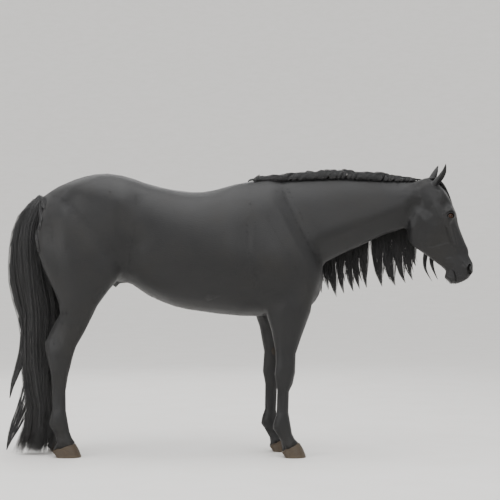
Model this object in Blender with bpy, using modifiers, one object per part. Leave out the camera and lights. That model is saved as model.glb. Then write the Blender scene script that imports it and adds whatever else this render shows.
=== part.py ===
"""A black stock-type horse, standing square and still, at life size.

Metres, +Z up, head towards +X, the animal's left side towards +Y. The origin is on
the floor under the middle of the horse. The flesh is built whole from lofts, muscle
forms and soft grooves, and is then parted with thin cuts into head, neck, trunk and
legs. Hooves, eyes, ears, mane, forelock and tail are pieces of their own.
"""

import math

import bmesh
import bpy
import numpy as np
from mathutils import Vector
from mathutils.bvhtree import BVHTree

# ---- driving dimensions ----------------------------------------------------------
VOXEL = 0.0085            # grain of the flesh before it is thinned out
BLEND_DETAIL = 0.006      # how far neighbouring forms melt into each other, legs and head
BLEND_BODY = 0.030        # the same on trunk, neck and thighs
FLESH_TRIANGLES = 3900    # triangles of the whole flesh after thinning
GAP = 0.0004              # clearance between neighbouring solids
FLESH_GROWTH = 0.0007     # how far ears and hair are kept off the flesh
HAIR_GROWTH = 0.0030      # how far the forelock is kept off ears and mane
FAR_FORELEG_BACK = 0.064  # the left foreleg stands this far behind the right one
FAR_HINDLEG_BACK = 0.064  # and the left hind leg behind the right one
FORELEG_ROOT = 1.15       # height at which a leg's shift has faded out
SHIFT_FADE = 0.35         # height over which it fades
FORE_HIND = -0.3          # legs before this x are forelegs, the others hind legs
MUSCLE_JOIN = (0.72, 0.98)  # heights between which the leg's crisp forms turn to soft ones
HEAD_JOIN = (0.82, 0.98)  # the same along x, from the neck to the head
CUT_TOP, CUT_REACH = 1.750, 1.6  # top of the cuts, and how far out they reach in x
CUT_HALF_WIDTH = 0.5
MANE_TRIANGLES = 950      # the same as FLESH_TRIANGLES for the three heads of hair
FORELOCK_TRIANGLES = 240
TAIL_TRIANGLES = 760
HAIR_VOXEL = 0.006        # grain of mane, forelock and tail before thinning
EYE_RADIUS = 0.021
EYE_SPOT = (0.238, 0.040, 0.083)  # down, out and to the side in the head's frame
HOOF_WIDTH = {"fore": 0.064, "hind": 0.059}  # half of the width across the ground
CORONET_WIDTH = 0.049     # half of the width across the top of a hoof
SOLE_BEVEL = 0.003
HAIR_CLEARANCE = 0.017    # the middle of a mane lock runs this far outside the flesh
MANE_LIFT = 0.052         # height of the mane's roll above the crest
MANE_START = 0.012        # the locks lie on the neck from this far below the crest
MANE_STEPS = 20           # points of a lock on its way down
MANE_FLATNESS = 0.36      # thickness of a mane lock as a share of its width
MANE_TAPER = 0.24         # share of its length over which a lock runs out to its tip
LEG_LINE = 0.130          # distance of a hoof from the middle plane
EAR_THICKNESS = 0.005
# Rows of an ear: share of its length, half width, half of the angle that it is rolled
EAR_ROWS = ((-0.10, 0.019, 140), (0.12, 0.022, 125), (0.36, 0.025, 98), (0.60, 0.022, 80),
            (0.80, 0.014, 70), (1.0, 0.003, 60))
COAT_COLOUR, COAT_ROUGHNESS = (0.036, 0.036, 0.037), 0.55  # linear colours
HAIR_COLOUR, HAIR_ROUGHNESS = (0.020, 0.020, 0.021), 0.60
HOOF_COLOUR = (0.105, 0.080, 0.055)
EYE_COLOUR = (0.040, 0.022, 0.010)
EYE_ROUGHNESS = 0.08

# The head has its own frame: down its axis, and out towards the forehead.
POLL = Vector((1.064, 0.0, 1.554))
HEAD_TILT = math.radians(20)
HEAD_DOWN = Vector((math.sin(HEAD_TILT), 0, -math.cos(HEAD_TILT)))
HEAD_OUT = Vector((math.cos(HEAD_TILT), 0, math.sin(HEAD_TILT)))

# ---- stations of the lofts -------------------------------------------------------
# Trunk: x, top, bottom, half width, height of the widest line, squareness above, below
TRUNK = (
    (-1.135, 1.390, 1.250, 0.030, 1.32, 2.0, 2.0),
    (-1.095, 1.470, 1.110, 0.110, 1.30, 2.0, 2.0),
    (-1.000, 1.530, 1.020, 0.185, 1.27, 2.1, 2.0),
    (-0.880, 1.576, 0.990, 0.238, 1.26, 2.2, 2.0),
    (-0.750, 1.594, 0.975, 0.262, 1.28, 2.3, 2.0),
    (-0.620, 1.572, 0.958, 0.264, 1.27, 2.4, 2.1),
    (-0.500, 1.530, 0.888, 0.268, 1.20, 2.3, 2.1),
    (-0.360, 1.497, 0.832, 0.288, 1.14, 2.1, 2.1),
    (-0.200, 1.487, 0.802, 0.302, 1.12, 2.0, 2.1),
    (-0.040, 1.528, 0.784, 0.298, 1.12, 1.75, 2.1),
    (0.080, 1.553, 0.777, 0.268, 1.10, 1.60, 2.1),
    (0.200, 1.558, 0.785, 0.242, 1.08, 1.60, 2.1),
    (0.310, 1.480, 0.800, 0.215, 1.06, 1.8, 2.1),
    (0.400, 1.330, 0.832, 0.186, 1.04, 2.1, 2.2),
    (0.448, 1.200, 0.884, 0.146, 1.03, 2.2, 2.2),
    (0.474, 1.110, 0.950, 0.075, 1.03, 2.2, 2.2),
)
# Neck: crest x, z, underline x, z, half width, widest line as a share of the depth
# from the underline, squareness towards the crest, towards the underline
NECK = (
    (0.020, 1.524, 0.300, 0.920, 0.190, 0.40, 1.7, 2.0),
    (0.150, 1.551, 0.420, 0.985, 0.180, 0.38, 1.6, 2.0),
    (0.270, 1.556, 0.474, 1.062, 0.158, 0.37, 1.55, 2.0),
    (0.420, 1.567, 0.548, 1.100, 0.132, 0.38, 1.55, 2.0),
    (0.568, 1.569, 0.660, 1.160, 0.112, 0.40, 1.6, 2.0),
    (0.712, 1.565, 0.770, 1.214, 0.098, 0.42, 1.65, 2.0),
    (0.830, 1.557, 0.862, 1.250, 0.089, 0.45, 1.7, 2.0),
    (0.940, 1.553, 0.935, 1.270, 0.083, 0.50, 1.8, 2.0),
    (1.040, 1.548, 1.010, 1.300, 0.072, 0.55, 2.0, 2.0),
)
# Head: down the axis, forehead side, jaw side, half width, widest line, squareness
# towards the forehead, towards the jaw
HEAD = (
    (-0.012, 0.006, -0.100, 0.042, -0.040, 2.0, 2.0),
    (0.030, 0.044, -0.125, 0.066, -0.030, 2.1, 2.0),
    (0.090, 0.076, -0.140, 0.082, -0.010, 2.2, 2.2),
    (0.150, 0.086, -0.166, 0.090, 0.010, 2.3, 2.3),
    (0.200, 0.090, -0.212, 0.093, 0.018, 2.5, 2.4),
    (0.245, 0.091, -0.236, 0.092, 0.010, 2.4, 2.4),
    (0.290, 0.084, -0.240, 0.084, -0.005, 2.1, 2.4),
    (0.335, 0.082, -0.222, 0.076, -0.015, 2.0, 2.3),
    (0.375, 0.083, -0.192, 0.068, -0.020, 1.9, 2.3),
    (0.420, 0.086, -0.162, 0.060, -0.014, 1.9, 2.2),
    (0.470, 0.091, -0.130, 0.054, -0.006, 1.9, 2.2),
    (0.520, 0.100, -0.098, 0.054, 0.000, 2.1, 2.2),
    (0.560, 0.095, -0.104, 0.056, 0.000, 2.3, 2.3),
    (0.592, 0.077, -0.087, 0.051, -0.004, 2.3, 2.3),
    (0.616, 0.040, -0.048, 0.034, -0.004, 2.2, 2.1),
)
# Legs: height, front x, back x, inner y, outer y, squareness
FORELEG = (
    (1.300, 0.350, 0.160, 0.060, 0.158, 2.0),
    (1.200, 0.398, 0.140, 0.060, 0.184, 2.1),
    (1.100, 0.420, 0.126, 0.060, 0.206, 2.2),
    (0.980, 0.432, 0.118, 0.055, 0.216, 2.2),
    (0.880, 0.426, 0.128, 0.048, 0.212, 2.2),
    (0.800, 0.400, 0.150, 0.050, 0.204, 2.2),
    (0.720, 0.370, 0.176, 0.062, 0.193, 2.2),
    (0.640, 0.341, 0.193, 0.076, 0.182, 2.2),
    (0.575, 0.322, 0.203, 0.085, 0.174, 2.2),
    (0.520, 0.318, 0.203, 0.083, 0.180, 2.5),
    (0.460, 0.315, 0.197, 0.082, 0.181, 2.6),
    (0.415, 0.303, 0.206, 0.090, 0.172, 2.4),
    (0.370, 0.286, 0.210, 0.100, 0.160, 2.2),
    (0.300, 0.281, 0.209, 0.103, 0.157, 2.1),
    (0.240, 0.281, 0.207, 0.102, 0.158, 2.1),
    (0.200, 0.286, 0.192, 0.095, 0.165, 2.2),
    (0.160, 0.293, 0.188, 0.092, 0.168, 2.2),
    (0.125, 0.302, 0.210, 0.097, 0.163, 2.1),
    (0.090, 0.321, 0.232, 0.093, 0.167, 2.1),
    (0.060, 0.338, 0.238, 0.081, 0.179, 2.1),
    (0.025, 0.346, 0.238, 0.080, 0.180, 2.1),
)
HINDLEG = (
    (1.430, -0.740, -1.040, 0.060, 0.190, 2.2),
    (1.310, -0.665, -1.116, 0.030, 0.244, 2.2),
    (1.190, -0.630, -1.130, 0.020, 0.280, 2.2),
    (1.080, -0.640, -1.102, 0.022, 0.282, 2.2),
    (0.985, -0.674, -1.060, 0.034, 0.268, 2.2),
    (0.905, -0.728, -1.024, 0.056, 0.244, 2.2),
    (0.825, -0.790, -1.002, 0.076, 0.214, 2.2),
    (0.750, -0.830, -1.008, 0.086, 0.190, 2.2),
    (0.680, -0.866, -1.040, 0.089, 0.178, 2.2),
    (0.620, -0.902, -1.074, 0.087, 0.178, 2.3),
    (0.560, -0.922, -1.070, 0.085, 0.177, 2.4),
    (0.500, -0.936, -1.058, 0.087, 0.174, 2.4),
    (0.440, -0.954, -1.048, 0.095, 0.165, 2.3),
    (0.360, -0.962, -1.044, 0.101, 0.159, 2.1),
    (0.270, -0.961, -1.044, 0.101, 0.159, 2.1),
    (0.220, -0.955, -1.056, 0.095, 0.165, 2.2),
    (0.180, -0.948, -1.060, 0.091, 0.169, 2.2),
    (0.140, -0.940, -1.038, 0.096, 0.164, 2.1),
    (0.100, -0.926, -1.020, 0.093, 0.167, 2.1),
    (0.070, -0.912, -1.020, 0.083, 0.177, 2.1),
    (0.025, -0.900, -1.030, 0.081, 0.179, 2.1),
)
# Cuts through the flesh, side view x, z: where the head, the neck and the legs begin
HEAD_CUT = ((1.105, CUT_TOP), (0.836, 1.000))
NECK_CUT = ((0.092, CUT_TOP), (0.503, 1.000))
FORE_CUT = 0.765
HIND_CUT = 0.900
HIND_FRONT = -0.600       # the hind legs' cut reaches forward to here
# Hooves: toe x, heel x on the ground, front x, z and back x, z of the coronet
HOOVES = {"fore": (0.376, 0.254, 0.338, 0.078, 0.239, 0.030),
          "hind": (-0.877, -1.019, -0.911, 0.074, -1.037, 0.034)}
# Mane locks: x at the crest, x and z of the tip, half width
MANE = (
    (0.110, 0.085, 1.330, 0.027), (0.165, 0.140, 1.250, 0.032), (0.220, 0.195, 1.170, 0.032),
    (0.275, 0.250, 1.100, 0.032), (0.330, 0.310, 1.040, 0.032), (0.385, 0.370, 0.985, 0.032),
    (0.440, 0.440, 0.935, 0.032), (0.494, 0.502, 0.905, 0.032), (0.548, 0.560, 0.888, 0.032),
    (0.602, 0.614, 0.880, 0.032), (0.656, 0.672, 0.900, 0.032), (0.710, 0.712, 0.930, 0.026),
    (0.760, 0.798, 0.930, 0.030), (0.812, 0.842, 0.938, 0.030), (0.866, 0.896, 0.942, 0.030),
    (0.918, 0.948, 0.952, 0.030), (0.966, 0.992, 0.972, 0.026),
)
# Forelock locks: root x, y, z, then x, y, z of the way down, with half widths
FORELOCK = (
    (((1.050, 0.004, 1.562), (1.100, 0.010, 1.564), (1.140, 0.018, 1.532),
      (1.174, 0.024, 1.472), (1.202, 0.028, 1.406), (1.222, 0.026, 1.348)),
     (0.016, 0.024, 0.028, 0.026, 0.016, 0.003)),
    (((1.060, 0.016, 1.560), (1.110, 0.044, 1.556), (1.142, 0.084, 1.508), (1.150, 0.108, 1.420),
      (1.142, 0.120, 1.320), (1.122, 0.122, 1.220), (1.104, 0.116, 1.120), (1.108, 0.108, 1.060),
      (1.138, 0.102, 0.988)),
     (0.014, 0.020, 0.024, 0.024, 0.024, 0.022, 0.018, 0.012, 0.003)),
    (((1.056, 0.020, 1.556), (1.096, 0.052, 1.546), (1.116, 0.092, 1.486), (1.116, 0.116, 1.390),
      (1.102, 0.126, 1.290), (1.082, 0.126, 1.190), (1.066, 0.118, 1.100), (1.070, 0.110, 1.040),
      (1.104, 0.104, 0.978)),
     (0.012, 0.018, 0.022, 0.022, 0.022, 0.020, 0.016, 0.011, 0.003)),
)
# Tail: height, outer x, inner x, half thickness
TAIL = (
    (1.460, -1.136, -1.098, 0.022), (1.400, -1.204, -1.080, 0.050), (1.342, -1.250, -1.082, 0.064),
    (1.217, -1.296, -1.080, 0.078), (1.100, -1.304, -1.060, 0.086), (0.993, -1.305, -1.030, 0.090),
    (0.861, -1.282, -1.008, 0.088), (0.760, -1.255, -1.016, 0.086), (0.589, -1.240, -1.046, 0.080),
    (0.436, -1.238, -1.056, 0.076), (0.320, -1.205, -1.052, 0.074), (0.225, -1.196, -1.046, 0.074),
    (0.130, -1.222, -1.036, 0.078), (0.060, -1.254, -1.032, 0.076), (0.018, -1.272, -1.046, 0.060),
)
TAIL_LOCKS = (  # way down x, y, z, and half widths
    (((-1.180, 0.010, 0.560), (-1.205, 0.010, 0.420), (-1.232, 0.012, 0.290),
      (-1.268, 0.012, 0.180), (-1.302, 0.012, 0.090), (-1.322, 0.010, 0.018)),
     (0.040, 0.044, 0.040, 0.030, 0.020, 0.004)),
    (((-1.190, -0.030, 0.840), (-1.208, -0.034, 0.720), (-1.226, -0.036, 0.620),
      (-1.254, -0.036, 0.520), (-1.282, -0.036, 0.430), (-1.298, -0.036, 0.316)),
     (0.030, 0.032, 0.030, 0.026, 0.018, 0.003)),
    (((-1.110, 0.030, 1.020), (-1.090, 0.056, 0.800), (-1.085, 0.060, 0.560),
      (-1.080, 0.060, 0.330), (-1.072, 0.050, 0.120), (-1.060, 0.040, 0.024)),
     (0.030, 0.032, 0.030, 0.030, 0.022, 0.005)),
)
# Ears, right one: base and tip in x, z; the half distance between bases and between tips
EAR_BASE, EAR_TIP = (1.104, 1.520), (1.166, 1.642)
FAR_EAR_BASE, FAR_EAR_TIP = (1.088, 1.526), (1.138, 1.638)
EAR_BASE_OUT, EAR_TIP_OUT = 0.046, 0.064
# How far the middle of each ear lies before a straight line
EAR_BOW, FAR_EAR_BOW = 0.022, 0.0055
# Relief: view, points in that view, reach, height. A side point is x, z; a head point is
# down, out in the head's frame; a front or rear point is y, z; a top point is x, y.
RELIEF = (
    ("side", ((-0.640, 1.445),), 0.055, 0.010),                                  # hip point
    ("side", ((-0.520, 1.410), (-0.560, 1.300)), 0.100, -0.014),                 # flank hollow
    ("side", ((-0.985, 1.460), (-0.900, 1.370), (-0.820, 1.270)), 0.045, -0.006),  # croup muscle edge
    ("side", ((-1.055, 1.400), (-1.045, 1.250), (-1.025, 1.100), (-0.992, 0.960),
              (-0.978, 0.880)), 0.036, -0.011),                                  # hamstring groove
    ("side", ((-0.645, 1.400), (-0.662, 1.200), (-0.690, 1.030)), 0.055, 0.010),  # thigh's front edge
    ("side", ((-0.680, 1.030), (-0.610, 1.050), (-0.520, 1.100)), 0.045, 0.010),  # flank fold
    ("side", ((-0.600, 1.130), (-0.610, 1.000)), 0.050, -0.008),
    ("side", ((-0.712, 1.000),), 0.060, 0.014),                                  # knee cap
    ("side", ((-0.748, 0.930), (-0.790, 0.870)), 0.030, -0.006),
    ("side", ((-0.850, 0.860),), 0.070, 0.009),                                  # gaskin
    ("side", ((-0.880, 0.830), (-0.925, 0.740), (-0.960, 0.660)), 0.018, -0.005),
    ("side", ((-0.962, 0.800), (-0.990, 0.720), (-1.018, 0.645)), 0.026, -0.014),  # before the hamstring
    ("side", ((-0.955, 0.600),), 0.035, 0.005),                                  # hock bones
    ("side", ((-0.985, 0.515),), 0.030, 0.004),
    ("side", ((-1.013, 0.470), (-1.010, 0.360), (-1.008, 0.255)), 0.013, -0.009),  # hind tendon groove
    ("side", ((-1.020, 0.190),), 0.030, 0.005),
    ("side", ((0.060, 1.240), (0.060, 1.080), (0.085, 0.930)), 0.060, -0.014),   # behind the arm
    ("side", ((0.180, 1.430), (0.265, 1.270), (0.350, 1.120)), 0.090, 0.016),    # shoulder blade
    ("side", ((0.200, 1.100),), 0.120, 0.012),                                   # triceps
    ("side", ((0.290, 0.800),), 0.090, 0.008),                                   # forearm
    ("side", ((0.262, 1.450), (0.345, 1.290), (0.425, 1.140)), 0.050, -0.017),   # before the shoulder
    ("side", ((0.400, 1.050),), 0.060, 0.012),                                   # point of shoulder
    ("side", ((0.170, 1.330), (0.250, 1.180), (0.325, 1.030)), 0.034, -0.010),   # blade and upper arm
    ("side", ((0.120, 0.930), (0.230, 0.895), (0.330, 0.925)), 0.040, -0.010),   # upper arm and forearm
    ("side", ((0.138, 0.865),), 0.036, 0.011),                                   # elbow
    ("side", ((0.292, 0.860), (0.280, 0.700), (0.264, 0.580)), 0.018, -0.006),   # forearm groove
    ("side", ((0.236, 0.505), (0.236, 0.420)), 0.013, -0.005),                   # knee bones
    ("side", ((0.212, 0.466),), 0.022, 0.006),
    ("side", ((0.237, 0.390), (0.235, 0.320), (0.234, 0.245)), 0.012, -0.009),   # fore tendon groove
    ("side", ((0.212, 0.180),), 0.028, 0.005),
    ("side", ((0.470, 1.130), (0.620, 1.210), (0.780, 1.275), (0.905, 1.330)), 0.034, -0.013),  # jugular
    ("side", ((0.440, 1.230), (0.650, 1.300), (0.880, 1.385)), 0.052, 0.008),    # neck strap
    ("side", ((0.600, 1.430),), 0.130, 0.006),
    ("side", ((0.350, 1.500), (0.600, 1.515), (0.880, 1.510)), 0.032, -0.005),   # under the crest
    ("side", ((0.965, 1.465),), 0.048, 0.009),                                   # first neck bone
    ("side", ((0.990, 1.410), (0.940, 1.310)), 0.034, -0.011),                   # behind the cheek
    ("head", ((0.135, -0.120), (0.190, -0.172), (0.260, -0.186), (0.330, -0.155)), 0.022, 0.004),
    ("head", ((0.272, 0.006), (0.330, 0.006), (0.385, 0.008)), 0.015, 0.009),    # cheek bone
    ("head", ((0.330, -0.030), (0.430, -0.028)), 0.040, -0.006),
    ("head", ((0.345, -0.110), (0.350, -0.060)), 0.032, -0.007),                 # before the cheek
    ("head", ((0.290, 0.048), (0.380, 0.046), (0.460, 0.044)), 0.022, -0.005),   # beside the nose
    ("head", ((0.160, 0.046),), 0.024, -0.010),                                  # above the eye
    ("head", ((0.240, -0.010), (0.190, -0.014), (0.130, -0.022)), 0.016, 0.006),  # temple arch
    ("front", ((0.0, 1.110), (0.0, 0.850)), 0.036, -0.024),                      # between the breasts
    ("front", ((0.150, 0.940), (0.135, 0.860)), 0.034, -0.010),
    ("rear", ((0.0, 1.340), (0.0, 0.980)), 0.050, -0.034),                       # between the buttocks
    ("rear", ((0.105, 1.300), (0.112, 1.060)), 0.032, -0.007),
    ("top", ((-0.960, 0.0), (-0.760, 0.0), (-0.560, 0.0)), 0.040, -0.007),       # croup's middle line
)
VIEWS = {  # plane of a view's points, the axis that it looks along, and which way
    "side": ((0, 2), 1, 0),
    "head": ((0, 2), 1, 0),
    "front": ((1, 2), 0, 1),
    "rear": ((1, 2), 0, -1),
    "top": ((0, 1), 2, 1),
}



def head_point(down, out, side):
    """A point given in the head's own frame."""
    return POLL + HEAD_DOWN * down + HEAD_OUT * out + Vector((0, side, 0))


# ---- small tools -----------------------------------------------------------------
def between(rows, per_step):
    """The rows with per_step smooth in-between rows after each of them."""
    table = np.array(rows, float)
    slopes = np.gradient(table, axis=0)
    out = []
    for i in range(len(table) - 1):
        for t in np.arange(per_step) / per_step:
            h00, h10 = 2 * t**3 - 3 * t**2 + 1, t**3 - 2 * t**2 + t
            h01, h11 = 3 * t**2 - 2 * t**3, t**3 - t**2
            out.append(h00 * table[i] + h10 * slopes[i]
                       + h01 * table[i + 1] + h11 * slopes[i + 1])
    return out + [table[-1]]


def oval(centre, across, up, side, above, below, square_above, square_below, count=28):
    """A closed ring: half width side, reaching above and below the centre."""
    ring = []
    for k in range(count):
        a = 2 * math.pi * k / count
        c, s = math.cos(a), math.sin(a)
        n = square_above if s >= 0 else square_below
        reach = above if s >= 0 else below
        w = side * math.copysign(abs(c) ** (2 / n), c)
        h = reach * math.copysign(abs(s) ** (2 / n), s)
        ring.append(centre + across * w + up * h)
    return ring


def new_object(name, bm):
    mesh = bpy.data.meshes.new(name)
    bmesh.ops.recalc_face_normals(bm, faces=bm.faces[:])
    bm.to_mesh(mesh)
    bm.free()
    obj = bpy.data.objects.new(name, mesh)
    bpy.context.scene.collection.objects.link(obj)
    return obj


def loft(name, rings):
    """A closed skin over the rings, capped at both ends."""
    bm = bmesh.new()
    rows = [[bm.verts.new(p) for p in ring] for ring in rings]
    count = len(rows[0])
    for low, high in zip(rows, rows[1:]):
        for k in range(count):
            bm.faces.new((low[k], low[(k + 1) % count], high[(k + 1) % count], high[k]))
    bm.faces.new(rows[0][::-1])
    bm.faces.new(rows[-1])
    return new_object(name, bm)


def muscle(name, centre, radii, turn=0.0):
    """An ellipsoid on the right and left side; turn tips it in side view."""
    made = []
    for side in (-1, 1):
        bpy.ops.mesh.primitive_uv_sphere_add(segments=28, ring_count=16, radius=1)
        belly = bpy.context.object
        belly.name = name
        belly.scale = radii
        belly.rotation_euler = (0, turn, 0)
        belly.location = (centre[0], side * centre[1], centre[2])
        made.append(belly)
    return made


def cord(name, points, radii, sides=(-1, 1)):
    """A round sinew, bone edge or vessel through the points, on both sides."""
    made = []
    for side in sides:
        curve = bpy.data.curves.new(name, "CURVE")
        curve.dimensions = "3D"
        curve.bevel_depth = 1.0
        curve.bevel_resolution = 3
        curve.use_fill_caps = True
        spline = curve.splines.new("POLY")
        rows = between([(*p, r) for p, r in zip(points, radii)], 4)
        spline.points.add(len(rows) - 1)
        for point, (x, y, z, r) in zip(spline.points, rows):
            point.co = (x, side * y, z, 1)
            point.radius = r
        shape = bpy.data.objects.new(name, curve)
        bpy.context.scene.collection.objects.link(shape)
        bpy.context.view_layer.update()
        mesh = bpy.data.meshes.new_from_object(shape.evaluated_get(
            bpy.context.evaluated_depsgraph_get()))
        bm = bmesh.new()
        bm.from_mesh(mesh)
        bmesh.ops.remove_doubles(bm, verts=bm.verts, dist=1e-5)
        bpy.data.objects.remove(shape)
        made.append(new_object(name, bm))
    return made


def join(name, pieces):
    bpy.ops.object.select_all(action="DESELECT")
    for piece in pieces:
        piece.select_set(True)
    bpy.context.view_layer.objects.active = pieces[0]
    bpy.ops.object.transform_apply(location=True, rotation=True, scale=True)
    bpy.ops.object.join()
    whole = bpy.context.object
    whole.name = name
    return whole


def apply_modifiers(obj):
    bpy.context.view_layer.update()
    mesh = bpy.data.meshes.new_from_object(
        obj.evaluated_get(bpy.context.evaluated_depsgraph_get()))
    obj.modifiers.clear()
    obj.data = mesh


# ---- the forms of the flesh ------------------------------------------------------
def trunk_form():
    rings = []
    for x, top, bottom, side, widest, above, below in between(TRUNK, 3):
        rings.append(oval(Vector((x, 0, widest)), Vector((0, 1, 0)), Vector((0, 0, 1)),
                          side, top - widest, widest - bottom, above, below))
    return loft("trunk_form", rings)


def neck_ring(row):
    crest_x, crest_z, under_x, under_z, side, widest, above, below = row
    under = Vector((under_x, 0, under_z))
    up = Vector((crest_x, 0, crest_z)) - under
    depth = up.length
    return oval(under + up * widest, Vector((0, 1, 0)), up / depth, side,
                depth * (1 - widest), depth * widest, above, below)


def head_form():
    rings = []
    for down, out, jaw, side, widest, above, below in between(HEAD, 3):
        rings.append(oval(head_point(down, widest, 0), Vector((0, 1, 0)), HEAD_OUT,
                          side, out - widest, widest - jaw, above, below))
    return loft("head_form", rings)


def leg_shift(height, back):
    """How far back a leg stands at this height: all of it at the floor, none at the root."""
    return back * min(1.0, max(0.0, (FORELEG_ROOT - height) / SHIFT_FADE))


def leg_form(name, rows, side, back):
    rings = []
    for z, front, rear, inner, outer, square in between(rows, 3):
        middle = Vector(((front + rear) / 2 - leg_shift(z, back),
                         side * (inner + outer) / 2, z))
        half = (front - rear) / 2
        rings.append(oval(middle, Vector((0, 1, 0)), Vector((1, 0, 0)),
                          (outer - inner) / 2, half, half, square, square, 24))
    return loft(name, rings)


def muscles():
    """Muscle bellies that stand out of the lofts."""
    made = []
    made += muscle("croup", (-0.780, 0.110, 1.430), (0.220, 0.125, 0.120), 0.05)
    made += muscle("buttock", (-1.050, 0.105, 1.270), (0.070, 0.090, 0.180), 0.10)
    made += muscle("thigh", (-0.900, 0.160, 1.180), (0.200, 0.112, 0.250), -0.2)
    made += muscle("breast", (0.385, 0.085, 0.990), (0.082, 0.110, 0.150))
    return made


def head_muscles():
    """Cheeks, eye rims, chin, lips and nostril wings, in the head's own frame."""
    made = []
    turn = math.radians(90) - HEAD_TILT

    def add(name, down, out, side, radii):
        made.extend(muscle(name, head_point(down, out, side), radii, turn))

    add("cheek", 0.225, -0.095, 0.052, (0.105, 0.045, 0.105))
    add("brow", 0.218, 0.046, 0.070, (0.045, 0.036, 0.034))
    add("eye_socket", 0.240, 0.026, 0.068, (0.040, 0.036, 0.034))
    add("temple", 0.120, 0.030, 0.050, (0.060, 0.036, 0.040))
    add("nostril_wing", 0.545, 0.036, 0.040, (0.046, 0.024, 0.030))
    add("upper_lip", 0.585, -0.006, 0.022, (0.034, 0.036, 0.046))
    add("lower_lip", 0.576, -0.070, 0.014, (0.034, 0.034, 0.028))
    add("chin", 0.556, -0.084, 0.012, (0.034, 0.036, 0.028))
    return made


def sinews():
    """Tendons, cheek bone edges and the dock of the tail."""
    made = []
    for side, back in ((-1, 0.0), (1, FAR_HINDLEG_BACK)):
        made += cord("hamstring", [(-0.985 - back, 0.130, 0.800), (-1.040 - back, 0.131, 0.700),
                                   (-1.066 - back, 0.131, 0.630), (-1.056 - back, 0.131, 0.560)],
                     (0.016, 0.015, 0.020, 0.016), (side,))
    made += cord("dock", [(-1.060, 0, 1.436), (-1.112, 0, 1.426), (-1.150, 0, 1.390)],
                 (0.042, 0.034, 0.024), (1,))
    made += cord("sheath", [(-0.780, 0, 1.010), (-0.724, 0, 0.982), (-0.694, 0, 0.954),
                            (-0.683, 0, 0.922)], (0.026, 0.034, 0.027, 0.011), (1,))
    return made


def flesh_whole():
    """All forms melted into one closed skin."""
    pieces = [trunk_form(), loft("neck_form", [neck_ring(r) for r in between(NECK, 3)]),
              head_form()]
    pieces += [leg_form("foreleg_form", FORELEG, -1, 0.0),
               leg_form("foreleg_form", FORELEG, 1, FAR_FORELEG_BACK),
               leg_form("hindleg_form", HINDLEG, -1, 0.0),
               leg_form("hindleg_form", HINDLEG, 1, FAR_HINDLEG_BACK)]
    pieces += muscles() + head_muscles() + sinews()
    flesh = join("flesh", pieces)
    melt = flesh.modifiers.new("melt", "REMESH")
    melt.mode = "VOXEL"
    melt.voxel_size = VOXEL
    apply_modifiers(flesh)
    soften(flesh)
    carve(flesh)
    return flesh


def from_line(points, line):
    """Distance of each point to a broken line, both flat."""
    if len(line) == 1:
        return np.linalg.norm(points - line[0], axis=1)
    best = np.full(len(points), np.inf)
    for a, b in zip(line[:-1], line[1:]):
        t = np.clip(((points - a) @ (b - a)) / ((b - a) @ (b - a)), 0, 1)
        best = np.minimum(best, np.linalg.norm(points - a - t[:, None] * (b - a), axis=1))
    return best


def carve(flesh):
    """Raises and sinks the flesh near the relief's lines, as seen from their view."""
    mesh = flesh.data
    co = np.empty(len(mesh.vertices) * 3)
    mesh.vertices.foreach_get("co", co)
    co = co.reshape(-1, 3)
    normals = np.empty(len(mesh.vertices) * 3)
    mesh.vertices.foreach_get("normal", normals)
    normals = normals.reshape(-1, 3)
    square = co.copy()                      # the same points as if all legs stood square
    left = fade(co[:, 1], 0.0, 0.04)
    back = np.where(co[:, 0] > FORE_HIND, FAR_FORELEG_BACK, FAR_HINDLEG_BACK)
    square[:, 0] += left * back * np.clip((FORELEG_ROOT - co[:, 2]) / SHIFT_FADE, 0, 1)
    square[:, 1] = np.abs(square[:, 1])
    push = np.zeros(len(co))
    for view, line, reach, height in RELIEF:
        plane, axis, way = VIEWS[view]
        if view == "head":
            line = [(p.x, p.z) for p in (head_point(d, o, 0) for d, o in line)]
        distance = from_line(square[:, plane], np.array(line, float))
        facing = np.clip(normals[:, axis] * way, 0, 1) if way else np.abs(normals[:, axis])
        reached = np.clip(1 - (distance / (1.6 * reach)) ** 2, 0, 1) ** 2
        push += height * reached * facing
    co += normals * push[:, None]
    mesh.vertices.foreach_set("co", co.ravel())
    mesh.update()


def fade(value, low, high):
    """0 below low, 1 above high, smooth between."""
    t = np.clip((value - low) / (high - low), 0, 1)
    return t * t * (3 - 2 * t)


def body_weight(co):
    """1 on trunk, neck and thighs, 0 on the lower legs and the head."""
    legs = fade(co[:, 2], *MUSCLE_JOIN)
    neck = 1 - fade(co[:, 0], *HEAD_JOIN)
    return legs * neck


def soften(flesh):
    """Smooths the joins: far on the big masses, little on legs and head."""
    co = np.empty(len(flesh.data.vertices) * 3)
    flesh.data.vertices.foreach_get("co", co)
    weight = body_weight(co.reshape(-1, 3))
    group = flesh.vertex_groups.new(name="body")
    for step in range(11):
        chosen = np.nonzero(np.round(weight * 10) == step)[0]
        group.add(chosen.tolist(), step / 10, "REPLACE")
    for name, blend in (("detail", BLEND_DETAIL), ("body", BLEND_BODY)):
        smooth = flesh.modifiers.new(name, "SMOOTH")
        smooth.factor = 0.5
        smooth.iterations = max(1, round(4 * (blend / VOXEL) ** 2))
        if name == "body":
            smooth.vertex_group = "body"
    apply_modifiers(flesh)
    flesh.vertex_groups.clear()


# ---- parting the flesh -----------------------------------------------------------
def prism(name, corners, low, high):
    """A cutter: the side-view outline corners, from y = low to y = high."""
    bm = bmesh.new()
    rings = [[bm.verts.new((x, y, z)) for x, z in corners] for y in (low, high)]
    for ring in rings:
        bm.faces.new(ring)
    for i in range(len(corners)):
        k = (i + 1) % len(corners)
        bm.faces.new((rings[0][i], rings[0][k], rings[1][k], rings[1][i]))
    return as_cutter(new_object(name, bm))


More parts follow.
